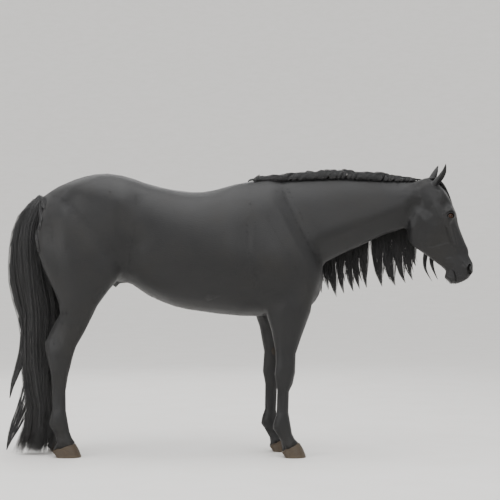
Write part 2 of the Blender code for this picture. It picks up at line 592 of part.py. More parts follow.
def ball(name, spot, radius):
    """A sphere at this place, with its poles to both sides."""
    bpy.ops.mesh.primitive_uv_sphere_add(segments=14, ring_count=8, radius=radius,
                                         location=spot, rotation=(math.radians(90), 0, 0))
    obj = bpy.context.object
    obj.name = name
    return obj


def as_cutter(obj):
    obj.hide_render = True
    obj.display_type = "WIRE"
    move_to(obj, "cutters")
    return obj


def move_to(obj, name):
    """Puts the object in the collection of this name, which is made if missing."""
    group = bpy.data.collections.get(name)
    if group is None:
        group = bpy.data.collections.new(name)
        bpy.context.scene.collection.children.link(group)
    for old in list(obj.users_collection):
        old.objects.unlink(obj)
    group.objects.link(obj)


def boolean(obj, other, operation):
    step = obj.modifiers.new("cut", "BOOLEAN")
    step.operation = operation
    step.solver = "EXACT"
    step.object = other
    apply_modifiers(obj)


def copy_of(obj, name):
    twin = obj.copy()
    twin.data = obj.data.copy()
    twin.name = name
    bpy.context.scene.collection.objects.link(twin)
    return twin


def shell_of(obj, growth):
    """A cutter that is this object grown by this much."""
    shell = copy_of(obj, obj.name + "_shell")
    grow = shell.modifiers.new("grow", "DISPLACE")
    grow.strength = growth
    grow.mid_level = 0.0
    apply_modifiers(shell)
    return as_cutter(shell)


def thin_out(obj, triangles):
    """Collapses edges until about this many triangles are left."""
    triangulate = obj.modifiers.new("triangles", "TRIANGULATE")
    triangulate.quad_method = "BEAUTY"
    apply_modifiers(obj)
    fewer = obj.modifiers.new("fewer", "DECIMATE")
    fewer.ratio = triangles / len(obj.data.polygons)
    apply_modifiers(obj)


def keep_largest(obj):
    """Drops the crumbs that a cut may leave, so that one closed body is left."""
    bm = bmesh.new()
    bm.from_mesh(obj.data)
    left = set(bm.verts)
    islands = []
    while left:
        front = [left.pop()]
        island = set(front)
        while front:
            for edge in front.pop().link_edges:
                for vert in edge.verts:
                    if vert in left:
                        left.discard(vert)
                        island.add(vert)
                        front.append(vert)
        islands.append(island)
    islands.sort(key=len)
    crumbs = [vert for island in islands[:-1] for vert in island]
    bmesh.ops.delete(bm, geom=crumbs, context="VERTS")
    bmesh.ops.dissolve_degenerate(bm, dist=0.0001, edges=bm.edges[:])
    bm.to_mesh(obj.data)
    bm.free()


def coronet_height(kind, x):
    """Height of the coronet's plane of a fore or hind hoof at this x."""
    front_x, front_z, back_x, back_z = HOOVES[kind][2:]
    return back_z + (x - back_x) * (front_z - back_z) / (front_x - back_x)


def regions():
    """The prisms that the flesh is parted with: name, outline, lowest y, highest y."""
    (head_top, top), (head_low, low) = HEAD_CUT
    neck_top, neck_low = NECK_CUT[0][0], NECK_CUT[1][0]
    wide = CUT_HALF_WIDTH
    head = ((head_top + GAP, top), (CUT_REACH, top), (CUT_REACH, FORE_CUT),
            (head_low, FORE_CUT), (head_low + GAP, low))
    neck = ((neck_top + GAP, top), (head_top, top), (head_low, low), (neck_low + GAP, low))
    trunk = ((-CUT_REACH, top), (neck_top, top), (neck_low, low), (neck_low, FORE_CUT),
             (HIND_FRONT, FORE_CUT), (HIND_FRONT, HIND_CUT), (-CUT_REACH, HIND_CUT))
    made = [("head", head, -wide, wide), ("neck", neck, -wide, wide),
            ("trunk", trunk, -wide, wide)]
    for side, low_y, high_y, fore_back, hind_back in (
            ("right", -wide, 0.0, 0.0, 0.0),
            ("left", 0.0, wide, FAR_FORELEG_BACK, FAR_HINDLEG_BACK)):
        for kind, rear, front, top_cut, back in (
                ("fore", FORE_HIND, CUT_REACH, FORE_CUT, fore_back),
                ("hind", -CUT_REACH, HIND_FRONT - GAP, HIND_CUT, hind_back)):
            outline = ((rear, top_cut - GAP), (front, top_cut - GAP),
                       (front, coronet_height(kind, front + back) + GAP),
                       (rear, coronet_height(kind, rear + back) + GAP))
            made.append((kind + "leg_" + side, outline, low_y, high_y))
    return made


# ---- hooves, ears, hair ----------------------------------------------------------
def hoof(name, kind, side, back):
    """A hoof: flat sole with a small bevel, wall leaning in to the coronet's plane."""
    toe, heel, front_x, front_z, back_x, back_z = HOOVES[kind]
    origin = (toe + heel) / 2

    def ring(front, rear, width, share):
        middle = Vector(((front + rear) / 2 - origin, 0, 0))
        half = (front - rear) / 2
        points = oval(middle, Vector((0, 1, 0)), Vector((1, 0, 0)), width, half, half,
                      2.1, 3.0, 20)
        for p in points:
            p.z = share * coronet_height(kind, p.x + origin)
        return points

    ground = (toe, heel, HOOF_WIDTH[kind])
    coronet = (front_x, back_x, CORONET_WIDTH)
    rings = [ring(toe - SOLE_BEVEL, heel + SOLE_BEVEL, HOOF_WIDTH[kind] - SOLE_BEVEL, 0.0)]
    rings.append(ring(*ground, 0.0))
    for p in rings[1]:
        p.z = SOLE_BEVEL
    for share in (0.5, 1.0):
        rings.append(ring(*[g + (c - g) * share for g, c in zip(ground, coronet)], share))
    made = loft(name, rings)
    made.location = (origin - back, side * LEG_LINE, 0)
    return made


def ear(name, base, tip, side, bow):
    """A leaf rolled to a tube at its base, open forwards and a little outwards."""
    start = Vector((base[0], side * EAR_BASE_OUT, base[1]))
    end = Vector((tip[0], side * EAR_TIP_OUT, tip[1]))
    along = (end - start).normalized()
    open_way = Vector((0.86, side * 0.5, 0.0))
    open_way = (open_way - along * open_way.dot(along)).normalized()
    across = along.cross(open_way)
    bm = bmesh.new()
    grid = []
    for share, width, closed in EAR_ROWS:
        middle = start.lerp(end, share)
        middle.x += bow * math.sin(math.pi * min(1.0, max(0.0, share)))
        reach = math.radians(closed)
        radius = width / math.sin(min(reach, math.pi / 2))
        row = []
        for k in range(7):
            angle = reach * (k / 3 - 1)
            p = middle - open_way * radius * (math.cos(angle) - math.cos(reach) * 0.5)
            row.append(bm.verts.new(p + across * radius * math.sin(angle)))
        grid.append(row)
    for low, high in zip(grid[:-1], grid[1:]):
        for k in range(6):
            bm.faces.new((low[k], low[k + 1], high[k + 1], high[k]))
    obj = new_object(name, bm)
    thick = obj.modifiers.new("thick", "SOLIDIFY")
    thick.thickness = EAR_THICKNESS
    thick.offset = 0
    apply_modifiers(obj)
    return obj


def lock(name, points, widths, flatness, across=Vector((1, 0, 0)), count=10, per_step=3):
    """A lock of hair: an oval along a smooth line, flatness is its thickness to width."""
    rows = [tuple(p) + (w,) for p, w in zip(points, widths)]
    rows = between(rows, per_step)
    rings = []
    for i, row in enumerate(rows):
        before, after = rows[max(i - 1, 0)], rows[min(i + 1, len(rows) - 1)]
        along = (Vector(after[:3]) - Vector(before[:3])).normalized()
        wide = (across - along * across.dot(along)).normalized()
        thick = max(row[3] * flatness, 0.003)
        rings.append(oval(Vector(row[:3]), wide, along.cross(wide), max(row[3], 0.002),
                          thick, thick, 2.0, 2.0, count))
    return loft(name, rings)


def crest(x):
    """Height of the neck's and withers' top line."""
    tops = [row[:2] for row in TRUNK if row[0] < NECK[0][0]] + [row[:2] for row in NECK]
    return float(np.interp(x, [top[0] for top in tops], [top[1] for top in tops]))


def mane_lift(x):
    """Height of the mane's roll over the crest, running out at the withers and the poll."""
    first, last = MANE[0][0], MANE[-1][0]
    return MANE_LIFT * math.sin(math.pi * min(1, max(0, (x - first + 0.04)
                                                     / (last - first + 0.08)))) ** 0.7


def mane_locks(flesh):
    """Locks from the crest over the neck's left side, hanging free below it."""
    tree = BVHTree.FromObject(flesh, bpy.context.evaluated_depsgraph_get())
    made = []
    for root_x, tip_x, tip_z, width in MANE:
        top, lift = crest(root_x), mane_lift(root_x)
        points = [Vector((root_x, -0.018, top + 0.004)),
                  Vector((root_x, -0.006, top + lift * 0.8)),
                  Vector((root_x, 0.024, top + lift * 0.75))]
        sizes = [width * 0.9, width, width]
        outside = 0.03
        for share in np.linspace(0.0, 1.0, MANE_STEPS + 1):
            x = root_x + (tip_x - root_x) * share
            z = top - MANE_START + (tip_z - top + MANE_START) * share
            hit, normal = tree.ray_cast(Vector((x, 1.0, z)), Vector((0, -1, 0)))[:2]
            if hit and hit.y > outside - HAIR_CLEARANCE:
                spot = hit + normal * HAIR_CLEARANCE
                outside = max(outside, spot.y)
            else:
                spot = Vector((x, 0, z))
            points.append(Vector((spot.x, outside, spot.z)))
            sizes.append(width * min(1.0, (1.04 - share) / MANE_TAPER))
        made.append(lock("mane_lock", points, sizes, MANE_FLATNESS, per_step=1))
    return made


def tail_forms():
    rings = []
    for z, outer, inner, thick in between(TAIL, 3):
        rings.append(oval(Vector(((outer + inner) / 2, 0, z)), Vector((0, 1, 0)),
                          Vector((1, 0, 0)), thick, (inner - outer) / 2,
                          (inner - outer) / 2, 2.0, 2.0, 20))
    made = [loft("tail_form", rings)]
    for points, widths in TAIL_LOCKS:
        made.append(lock("tail_lock", points, widths, 0.7))
    return made


def hair_node(name, locks, shells, triangles):
    """Melts the locks into one body, thins it out and clears it from its neighbours."""
    hair = join(name, locks)
    melt = hair.modifiers.new("melt", "REMESH")
    melt.mode = "VOXEL"
    melt.voxel_size = HAIR_VOXEL
    even = hair.modifiers.new("even", "SMOOTH")
    even.factor = 0.5
    even.iterations = 2
    apply_modifiers(hair)
    keep_largest(hair)
    thin_out(hair, triangles)
    for shell in shells:
        boolean(hair, shell, "DIFFERENCE")
    keep_largest(hair)
    return hair


# ---- the horse -------------------------------------------------------------------
def material(name, colour, roughness):
    made = bpy.data.materials.new(name)
    made.use_nodes = True
    surface = made.node_tree.nodes["Principled BSDF"]
    surface.inputs["Base Color"].default_value = (*colour, 1.0)
    surface.inputs["Roughness"].default_value = roughness
    surface.inputs["Metallic"].default_value = 0.0
    return made


def finish(obj, colour, roughness):
    """Own material, smooth shading and a place in the horse's collection."""
    obj.data.shade_smooth()
    obj.data.set_sharp_from_angle(angle=math.radians(50))
    obj.data.materials.clear()
    obj.data.materials.append(material(obj.name, colour, roughness))
    move_to(obj, "horse")
    obj.parent = bpy.data.objects["stand"]


def main():
    for old in list(bpy.data.objects):
        bpy.data.objects.remove(old)
    stand = bpy.data.objects.new("stand", None)
    bpy.context.scene.collection.objects.link(stand)
    flesh = flesh_whole()
    thin_out(flesh, FLESH_TRIANGLES)
    flesh_shell = shell_of(flesh, FLESH_GROWTH)
    ear_shells = []

    for name, outline, low, high in regions():
        piece = copy_of(flesh, name)
        boolean(piece, prism(name + "_region", outline, low, high), "INTERSECT")
        if name == "head":
            for side in (-1, 1):
                spot = head_point(EYE_SPOT[0], EYE_SPOT[1], side * EYE_SPOT[2])
                socket = as_cutter(ball("socket", spot, EYE_RADIUS + GAP))
                boolean(piece, socket, "DIFFERENCE")
        keep_largest(piece)
        finish(piece, COAT_COLOUR, COAT_ROUGHNESS)

    for side, word, fore_back, hind_back in ((-1, "right", 0.0, 0.0),
                                             (1, "left", FAR_FORELEG_BACK, FAR_HINDLEG_BACK)):
        for kind, back in (("fore", fore_back), ("hind", hind_back)):
            finish(hoof("hoof_" + kind + "_" + word, kind, side, back), HOOF_COLOUR, 0.45)
        spot = head_point(EYE_SPOT[0], EYE_SPOT[1], side * EYE_SPOT[2])
        finish(ball("eye_" + word, spot, EYE_RADIUS), EYE_COLOUR, EYE_ROUGHNESS)
        base, tip, bow = FAR_EAR_BASE, FAR_EAR_TIP, FAR_EAR_BOW
        if side < 0:
            base, tip, bow = EAR_BASE, EAR_TIP, EAR_BOW
        leaf = ear("ear_" + word, base, tip, side, bow)
        boolean(leaf, flesh_shell, "DIFFERENCE")
        keep_largest(leaf)
        ear_shells.append(shell_of(leaf, HAIR_GROWTH))
        finish(leaf, COAT_COLOUR, COAT_ROUGHNESS)

    mane = hair_node("mane", mane_locks(flesh), [flesh_shell], MANE_TRIANGLES)
    front = [lock("forelock_lock", points, widths, 0.45) for points, widths in FORELOCK]
    forelock = hair_node("forelock", front, [flesh_shell, shell_of(mane, HAIR_GROWTH)] + ear_shells,
                         FORELOCK_TRIANGLES)
    tail = hair_node("tail", tail_forms(), [flesh_shell], TAIL_TRIANGLES)
    for hair in (mane, forelock, tail):
        finish(hair, HAIR_COLOUR, HAIR_ROUGHNESS)
    bpy.data.objects.remove(flesh)


if __name__ == "__main__":
    main()
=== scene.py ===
import math

import bmesh
import bpy
import numpy as np
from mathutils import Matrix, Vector
from mathutils.bvhtree import BVHTree
from mathutils.geometry import barycentric_transform


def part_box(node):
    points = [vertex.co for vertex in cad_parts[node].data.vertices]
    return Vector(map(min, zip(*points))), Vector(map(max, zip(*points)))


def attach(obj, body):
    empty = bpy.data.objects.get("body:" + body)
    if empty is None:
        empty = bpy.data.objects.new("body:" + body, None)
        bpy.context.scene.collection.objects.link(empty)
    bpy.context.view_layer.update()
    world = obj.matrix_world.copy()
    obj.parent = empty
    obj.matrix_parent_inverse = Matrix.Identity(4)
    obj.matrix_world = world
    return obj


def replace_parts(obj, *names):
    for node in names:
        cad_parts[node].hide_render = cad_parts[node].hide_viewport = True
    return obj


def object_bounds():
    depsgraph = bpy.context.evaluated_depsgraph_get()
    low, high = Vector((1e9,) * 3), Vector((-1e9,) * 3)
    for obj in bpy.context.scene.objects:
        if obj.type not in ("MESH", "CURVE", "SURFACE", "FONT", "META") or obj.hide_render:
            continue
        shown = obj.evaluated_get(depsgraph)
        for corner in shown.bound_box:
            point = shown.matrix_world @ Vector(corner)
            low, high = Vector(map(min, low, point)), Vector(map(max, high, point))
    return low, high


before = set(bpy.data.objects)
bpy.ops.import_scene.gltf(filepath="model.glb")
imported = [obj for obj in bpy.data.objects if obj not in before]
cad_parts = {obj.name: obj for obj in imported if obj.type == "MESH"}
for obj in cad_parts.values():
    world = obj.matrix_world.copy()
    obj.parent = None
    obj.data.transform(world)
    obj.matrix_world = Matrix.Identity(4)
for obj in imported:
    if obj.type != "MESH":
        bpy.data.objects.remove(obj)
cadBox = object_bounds()
dice = np.random.default_rng(11)
print("frame loaded, the horse is", [round(v, 3) for v in cadBox[1] - cadBox[0]], "m")


# small helpers

def fromHex(code):
    parts = [int(code[k:k + 2], 16) / 255 for k in (1, 3, 5)]
    return [p / 12.92 if p <= 0.04045 else ((p + 0.055) / 1.055) ** 2.4 for p in parts] + [1.0]


def addNode(material, kind, inputs=None, **settings):
    node = material.node_tree.nodes.new("ShaderNode" + kind)
    for key, value in settings.items():
        setattr(node, key, value)
    for key, value in (inputs or {}).items():
        if isinstance(value, bpy.types.NodeSocket):
            material.node_tree.links.new(value, node.inputs[key])
        else:
            node.inputs[key].default_value = value
    return node


def addRamp(material, factor, stops):
    ramp = addNode(material, "ValToRGB", {"Fac": factor})
    while len(ramp.color_ramp.elements) < len(stops):
        ramp.color_ramp.elements.new(0.5)
    for element, (place, code) in zip(ramp.color_ramp.elements, stops):
        element.position = place
        element.color = fromHex(code)
    return ramp.outputs["Color"]


def newMaterial(name, **settings):
    material = bpy.data.materials.new(name)
    material.use_nodes = True
    surface = material.node_tree.nodes["Principled BSDF"]
    for key, value in settings.items():
        surface.inputs[key.replace("_", " ")].default_value = value
    return material, surface


def setLinks(material, surface, colour=None, roughness=None, bump=None):
    links = material.node_tree.links
    for name, socket in (("Base Color", colour), ("Roughness", roughness), ("Normal", bump)):
        if socket is not None:
            links.new(socket, surface.inputs[name])


def deselect():
    if bpy.context.object and bpy.context.object.mode != "OBJECT":
        bpy.ops.object.mode_set(mode="OBJECT")
    bpy.ops.object.select_all(action="DESELECT")


def pick(*objects):
    deselect()
    for thing in objects:
        thing.select_set(True)
    bpy.context.view_layer.objects.active = objects[0]
    return objects[0]


def selectWhere(thing, kind, test):
    # leaves the thing in edit mode with only the wanted edges or faces selected
    pick(thing)
    bpy.ops.object.mode_set(mode="EDIT")
    bpy.ops.mesh.select_mode(type=kind)
    bpy.ops.mesh.select_all(action="DESELECT")
    bpy.ops.object.mode_set(mode="OBJECT")
    for part in thing.data.edges if kind == "EDGE" else thing.data.polygons:
        part.select = test(part)
    bpy.ops.object.mode_set(mode="EDIT")


def applyModifier(thing, kind, **settings):
    pick(thing)
    modifier = thing.modifiers.new(kind.lower(), kind)
    for key, value in settings.items():
        setattr(modifier, key, value)
    bpy.ops.object.modifier_apply(modifier=modifier.name)


def readPoints(thing, what="co"):
    values = np.empty(len(thing.data.vertices) * 3, np.float32)
    thing.data.vertices.foreach_get(what, values)
    return values.reshape(-1, 3).astype(float)


def writePoints(thing, points):
    thing.data.vertices.foreach_set("co", points.astype(np.float32).ravel())
    thing.data.update()


def readEdges(thing):
    pairs = np.empty(len(thing.data.edges) * 2, np.int32)
    thing.data.edges.foreach_get("vertices", pairs)
    return pairs.reshape(-1, 2)


def addAttribute(thing, name, values):
    layer = thing.data.attributes.new(name, "FLOAT", "POINT")
    layer.data.foreach_set("value", np.asarray(values, np.float32))


def ease(value, low, high):
    t = np.clip((value - low) / (high - low), 0, 1)
    return t * t * (3 - 2 * t)


def unit(vectors):
    return vectors / np.maximum(np.linalg.norm(vectors, axis=-1, keepdims=True), 1e-9)


def meshOf(nodeNames, title):
    # the nodes' own shapes in one new mesh, with their loose triangles joined up
    copies = []
    for name in nodeNames:
        twin = bpy.data.objects.new(title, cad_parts[name].data.copy())
        bpy.context.scene.collection.objects.link(twin)
        copies.append(twin)
    whole = pick(*copies)
    if len(copies) > 1:
        bpy.ops.object.join()
    whole.data.materials.clear()
    bpy.ops.object.mode_set(mode="EDIT")
    bpy.ops.mesh.select_all(action="SELECT")
    bpy.ops.mesh.remove_doubles(threshold=0.0001)
    bpy.ops.object.mode_set(mode="OBJECT")
    return whole


# the head's own frame: down its axis, out to the forehead, and to the side

headFrame = {
    "tilt": 20, "eyeDown": 0.238, "eyeOut": 0.040,     # the eye's place in it, from the poll
    "throat": 1.0,                                     # the head's lines count only before this
}
eyeSpot = {side: sum(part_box("eye_" + side), Vector()) / 2 for side in ("right", "left")}
eyeRadius = (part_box("eye_right")[1].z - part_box("eye_right")[0].z) / 2
headTilt = math.radians(headFrame["tilt"])
headDown = Vector((math.sin(headTilt), 0, -math.cos(headTilt)))
headOut = Vector((math.cos(headTilt), 0, math.sin(headTilt)))
poll = Vector((eyeSpot["right"].x, 0, eyeSpot["right"].z)) \
    - headDown * headFrame["eyeDown"] - headOut * headFrame["eyeOut"]


def inHead(points):
    offset = points - np.array(poll)
    return np.stack([offset @ np.array(headDown), offset @ np.array(headOut), points[:, 1]], axis=1)


def beforeThroat(points):
    return points[:, 0] > headFrame["throat"]


# camera and light

camera = {
    "spot": (0.0623, -8.5, 1.155), "aim": (0.0623, 0.0, 1.155),
    "frameWidth": 2.792, "frameDepth": 8.38, "sensor": 36,     # the frame is that wide so far off
}
studio = {
    "floor": "#e9e7e3", "light": "#edebe8", "speckle": 3.0, "roughness": 0.8, "sky": 1.15,
    "halfSize": 60.0, "cuts": 120, "flat": 14.0, "rim": 16.0,
    "lamps": (  # name, place, aimed at, size, watts
        ("topLamp", (-0.2, -0.6, 4.8), (0.0, 0.0, 1.2), 4.0, 150),
        ("keyLamp", (2.4, -5.2, 3.8), (0.2, 0.0, 1.1), 3.0, 90),
        ("fillLamp", (-4.8, -3.8, 2.4), (-0.5, 0.0, 1.1), 3.0, 120),
        ("backLamp", (-1.0, 5.0, 3.4), (0.0, 0.0, 1.1), 3.4, 60),
    ),
}


def aimedAt(spot, aim):
    return (Vector(aim) - Vector(spot)).to_track_quat("-Z", "Y").to_euler()


def setCamera():
    bpy.ops.object.camera_add(location=camera["spot"])
    shot = bpy.context.object
    shot.rotation_euler = aimedAt(camera["spot"], camera["aim"])
    shot.data.sensor_width = camera["sensor"]
    shot.data.lens = camera["sensor"] * camera["frameDepth"] / camera["frameWidth"]
    bpy.context.scene.camera = shot


def hangLamps():
    for name, spot, aim, size, watts in studio["lamps"]:
        bpy.ops.object.light_add(type="AREA", location=spot)
        lamp = bpy.context.object
        lamp.name = name
        lamp.data.size = size
        lamp.data.energy = watts
        lamp.rotation_euler = aimedAt(spot, aim)
    world = bpy.data.worlds.new("studioSky")
    world.use_nodes = True
    sky = world.node_tree.nodes["Background"]
    sky.inputs["Color"].default_value = (1, 1, 1, 1)
    sky.inputs["Strength"].default_value = studio["sky"]
    bpy.context.scene.world = world


def layFloor():
    # flat under the horse; it rises far off, so that no horizon shows
    deselect()
    bpy.ops.mesh.primitive_grid_add(x_subdivisions=studio["cuts"], y_subdivisions=studio["cuts"],
                                    size=2 * studio["halfSize"])
    floor = bpy.context.object
    floor.name = "studioFloor"
    points = readPoints(floor)
    reach = np.hypot(points[:, 0], points[:, 1])
    far = np.clip((reach - studio["flat"]) / (studio["halfSize"] - studio["flat"]), 0, None)
    points[:, 2] = studio["rim"] * far ** 2
    writePoints(floor, points)
    bpy.ops.object.shade_smooth()
    material, surface = newMaterial("matPaint", Roughness=studio["roughness"])
    place = addNode(material, "TexCoord").outputs["Object"]
    speckle = addNode(material, "TexNoise", {"Vector": place, "Scale": studio["speckle"], "Detail": 4.0})
    colour = addRamp(material, speckle.outputs["Fac"], ((0.3, studio["floor"]), (0.7, studio["light"])))
    setLinks(material, surface, colour)
    floor.data.materials.append(material)


setCamera()
hangLamps()
layFloor()
print("studio made")


# the skin: one surface for head, neck, trunk, legs and ears

fleshNodes = ("head", "neck", "trunk", "foreleg_right", "foreleg_left", "hindleg_right", "hindleg_left")
earNodes = ("ear_right", "ear_left")
skinShape = {
    "bodyGrain": 0.006,    # first surface, for the big forms
    "grain": 0.0036,       # second surface, for the folds
    "bodyRounds": 80,         # rounds of evening out, which hide the facets
    "lastRounds": 5,
    "shrink": 0.68, "swell": -0.715,           # each round draws the form in and lets it out again
    "legShare": 0.32, "headShare": 0.55,       # how much of that the legs and the head get
    "legEnds": (0.70, 0.95), "headStarts": (0.84, 0.98),
    "closing": 0.0006, "earSwell": 0.0012,     # the solids grow so much, which closes the thin cuts
    "coatDepth": 0.0020,                       # the skin lies this far inside the solids
    "lidThickness": 0.0030,
    "splitEyes": (0.048, 0.036),               # faces this near to eyes, lips and mouth are split
    "splitLips": 0.018, "splitMouth": 0.0055, "splitMuzzle": 0.50,
    "mostTriangles": 185000,
}


def neighbourCounts(edges, count):
    return np.bincount(edges[:, 0], minlength=count) + np.bincount(edges[:, 1], minlength=count)


def neighbourSums(points, edges):
    first, second = edges[:, 0], edges[:, 1]
    return np.stack([np.bincount(first, points[second, k], len(points))
                     + np.bincount(second, points[first, k], len(points)) for k in range(3)], axis=1)


def evenOut(points, edges, rounds, weight):
    near = neighbourCounts(edges, len(points))
    for _ in range(rounds):
        for factor in (skinShape["shrink"], skinShape["swell"]):
            middle = neighbourSums(points, edges) / near[:, None]
            points = points + (middle - points) * (factor * weight)[:, None]
    return points


def bodyShare(points):
    legs = ease(points[:, 2], *skinShape["legEnds"])
    head = ease(points[:, 0], *skinShape["headStarts"])
    share = legs + (1 - legs) * skinShape["legShare"]
    return share + (skinShape["headShare"] - share) * head


def toLine(points, line):
    # distance to a broken line, and how far along it the nearest place is, from 0 to 1
    line = np.array(line, float)
    if len(line) == 1:
        return np.linalg.norm(points - line[0], axis=1), np.full(len(points), 0.5)
    best, along = np.full(len(points), np.inf), np.zeros(len(points))
    for k, (a, b) in enumerate(zip(line[:-1], line[1:])):
        t = np.clip(((points - a) @ (b - a)) / ((b - a) @ (b - a)), 0, 1)
        distance = np.linalg.norm(points - a - t[:, None] * (b - a), axis=1)
        along = np.where(distance < best, (k + t) / (len(line) - 1), along)
        best = np.minimum(best, distance)
    return best, along


def smoothSkin():
    body = meshOf(fleshNodes, "skin")
    applyModifier(body, "DISPLACE", strength=skinShape["closing"], mid_level=0.0)
    applyModifier(body, "REMESH", mode="VOXEL", voxel_size=skinShape["bodyGrain"])
    points = readPoints(body)
    writePoints(body, evenOut(points, readEdges(body), skinShape["bodyRounds"], bodyShare(points)))
    ears = meshOf(earNodes, "ears")
    applyModifier(ears, "SUBSURF", levels=2, render_levels=2)
    applyModifier(ears, "DISPLACE", strength=skinShape["earSwell"], mid_level=0.0)
    lids = []
    for spot in eyeSpot.values():
        bpy.ops.mesh.primitive_uv_sphere_add(segments=48, ring_count=24, location=spot,
                                             radius=eyeRadius + skinShape["lidThickness"])
        lids.append(bpy.context.object)
    whole = pick(body, ears, *lids)
    bpy.ops.object.join()
    bpy.ops.object.transform_apply(location=True, rotation=True, scale=True)
    applyModifier(whole, "REMESH", mode="VOXEL", voxel_size=skinShape["grain"])
    points = readPoints(whole)
    writePoints(whole, evenOut(points, readEdges(whole), skinShape["lastRounds"], np.ones(len(points))))
    return whole


def refine(thing, wanted):
    # splits the faces whose corners are all wanted
    shape = bmesh.new()
    shape.from_mesh(thing.data)
    shape.verts.ensure_lookup_table()
    marked = set(np.nonzero(wanted)[0].tolist())
    edges = [edge for edge in shape.edges if marked.issuperset(corner.index for corner in edge.verts)]
    bmesh.ops.subdivide_edges(shape, edges=edges, cuts=1, use_grid_fill=True, smooth=0.0)
    bmesh.ops.triangulate(shape, faces=[face for face in shape.faces if len(face.verts) > 4])
    shape.to_mesh(thing.data)
    shape.free()


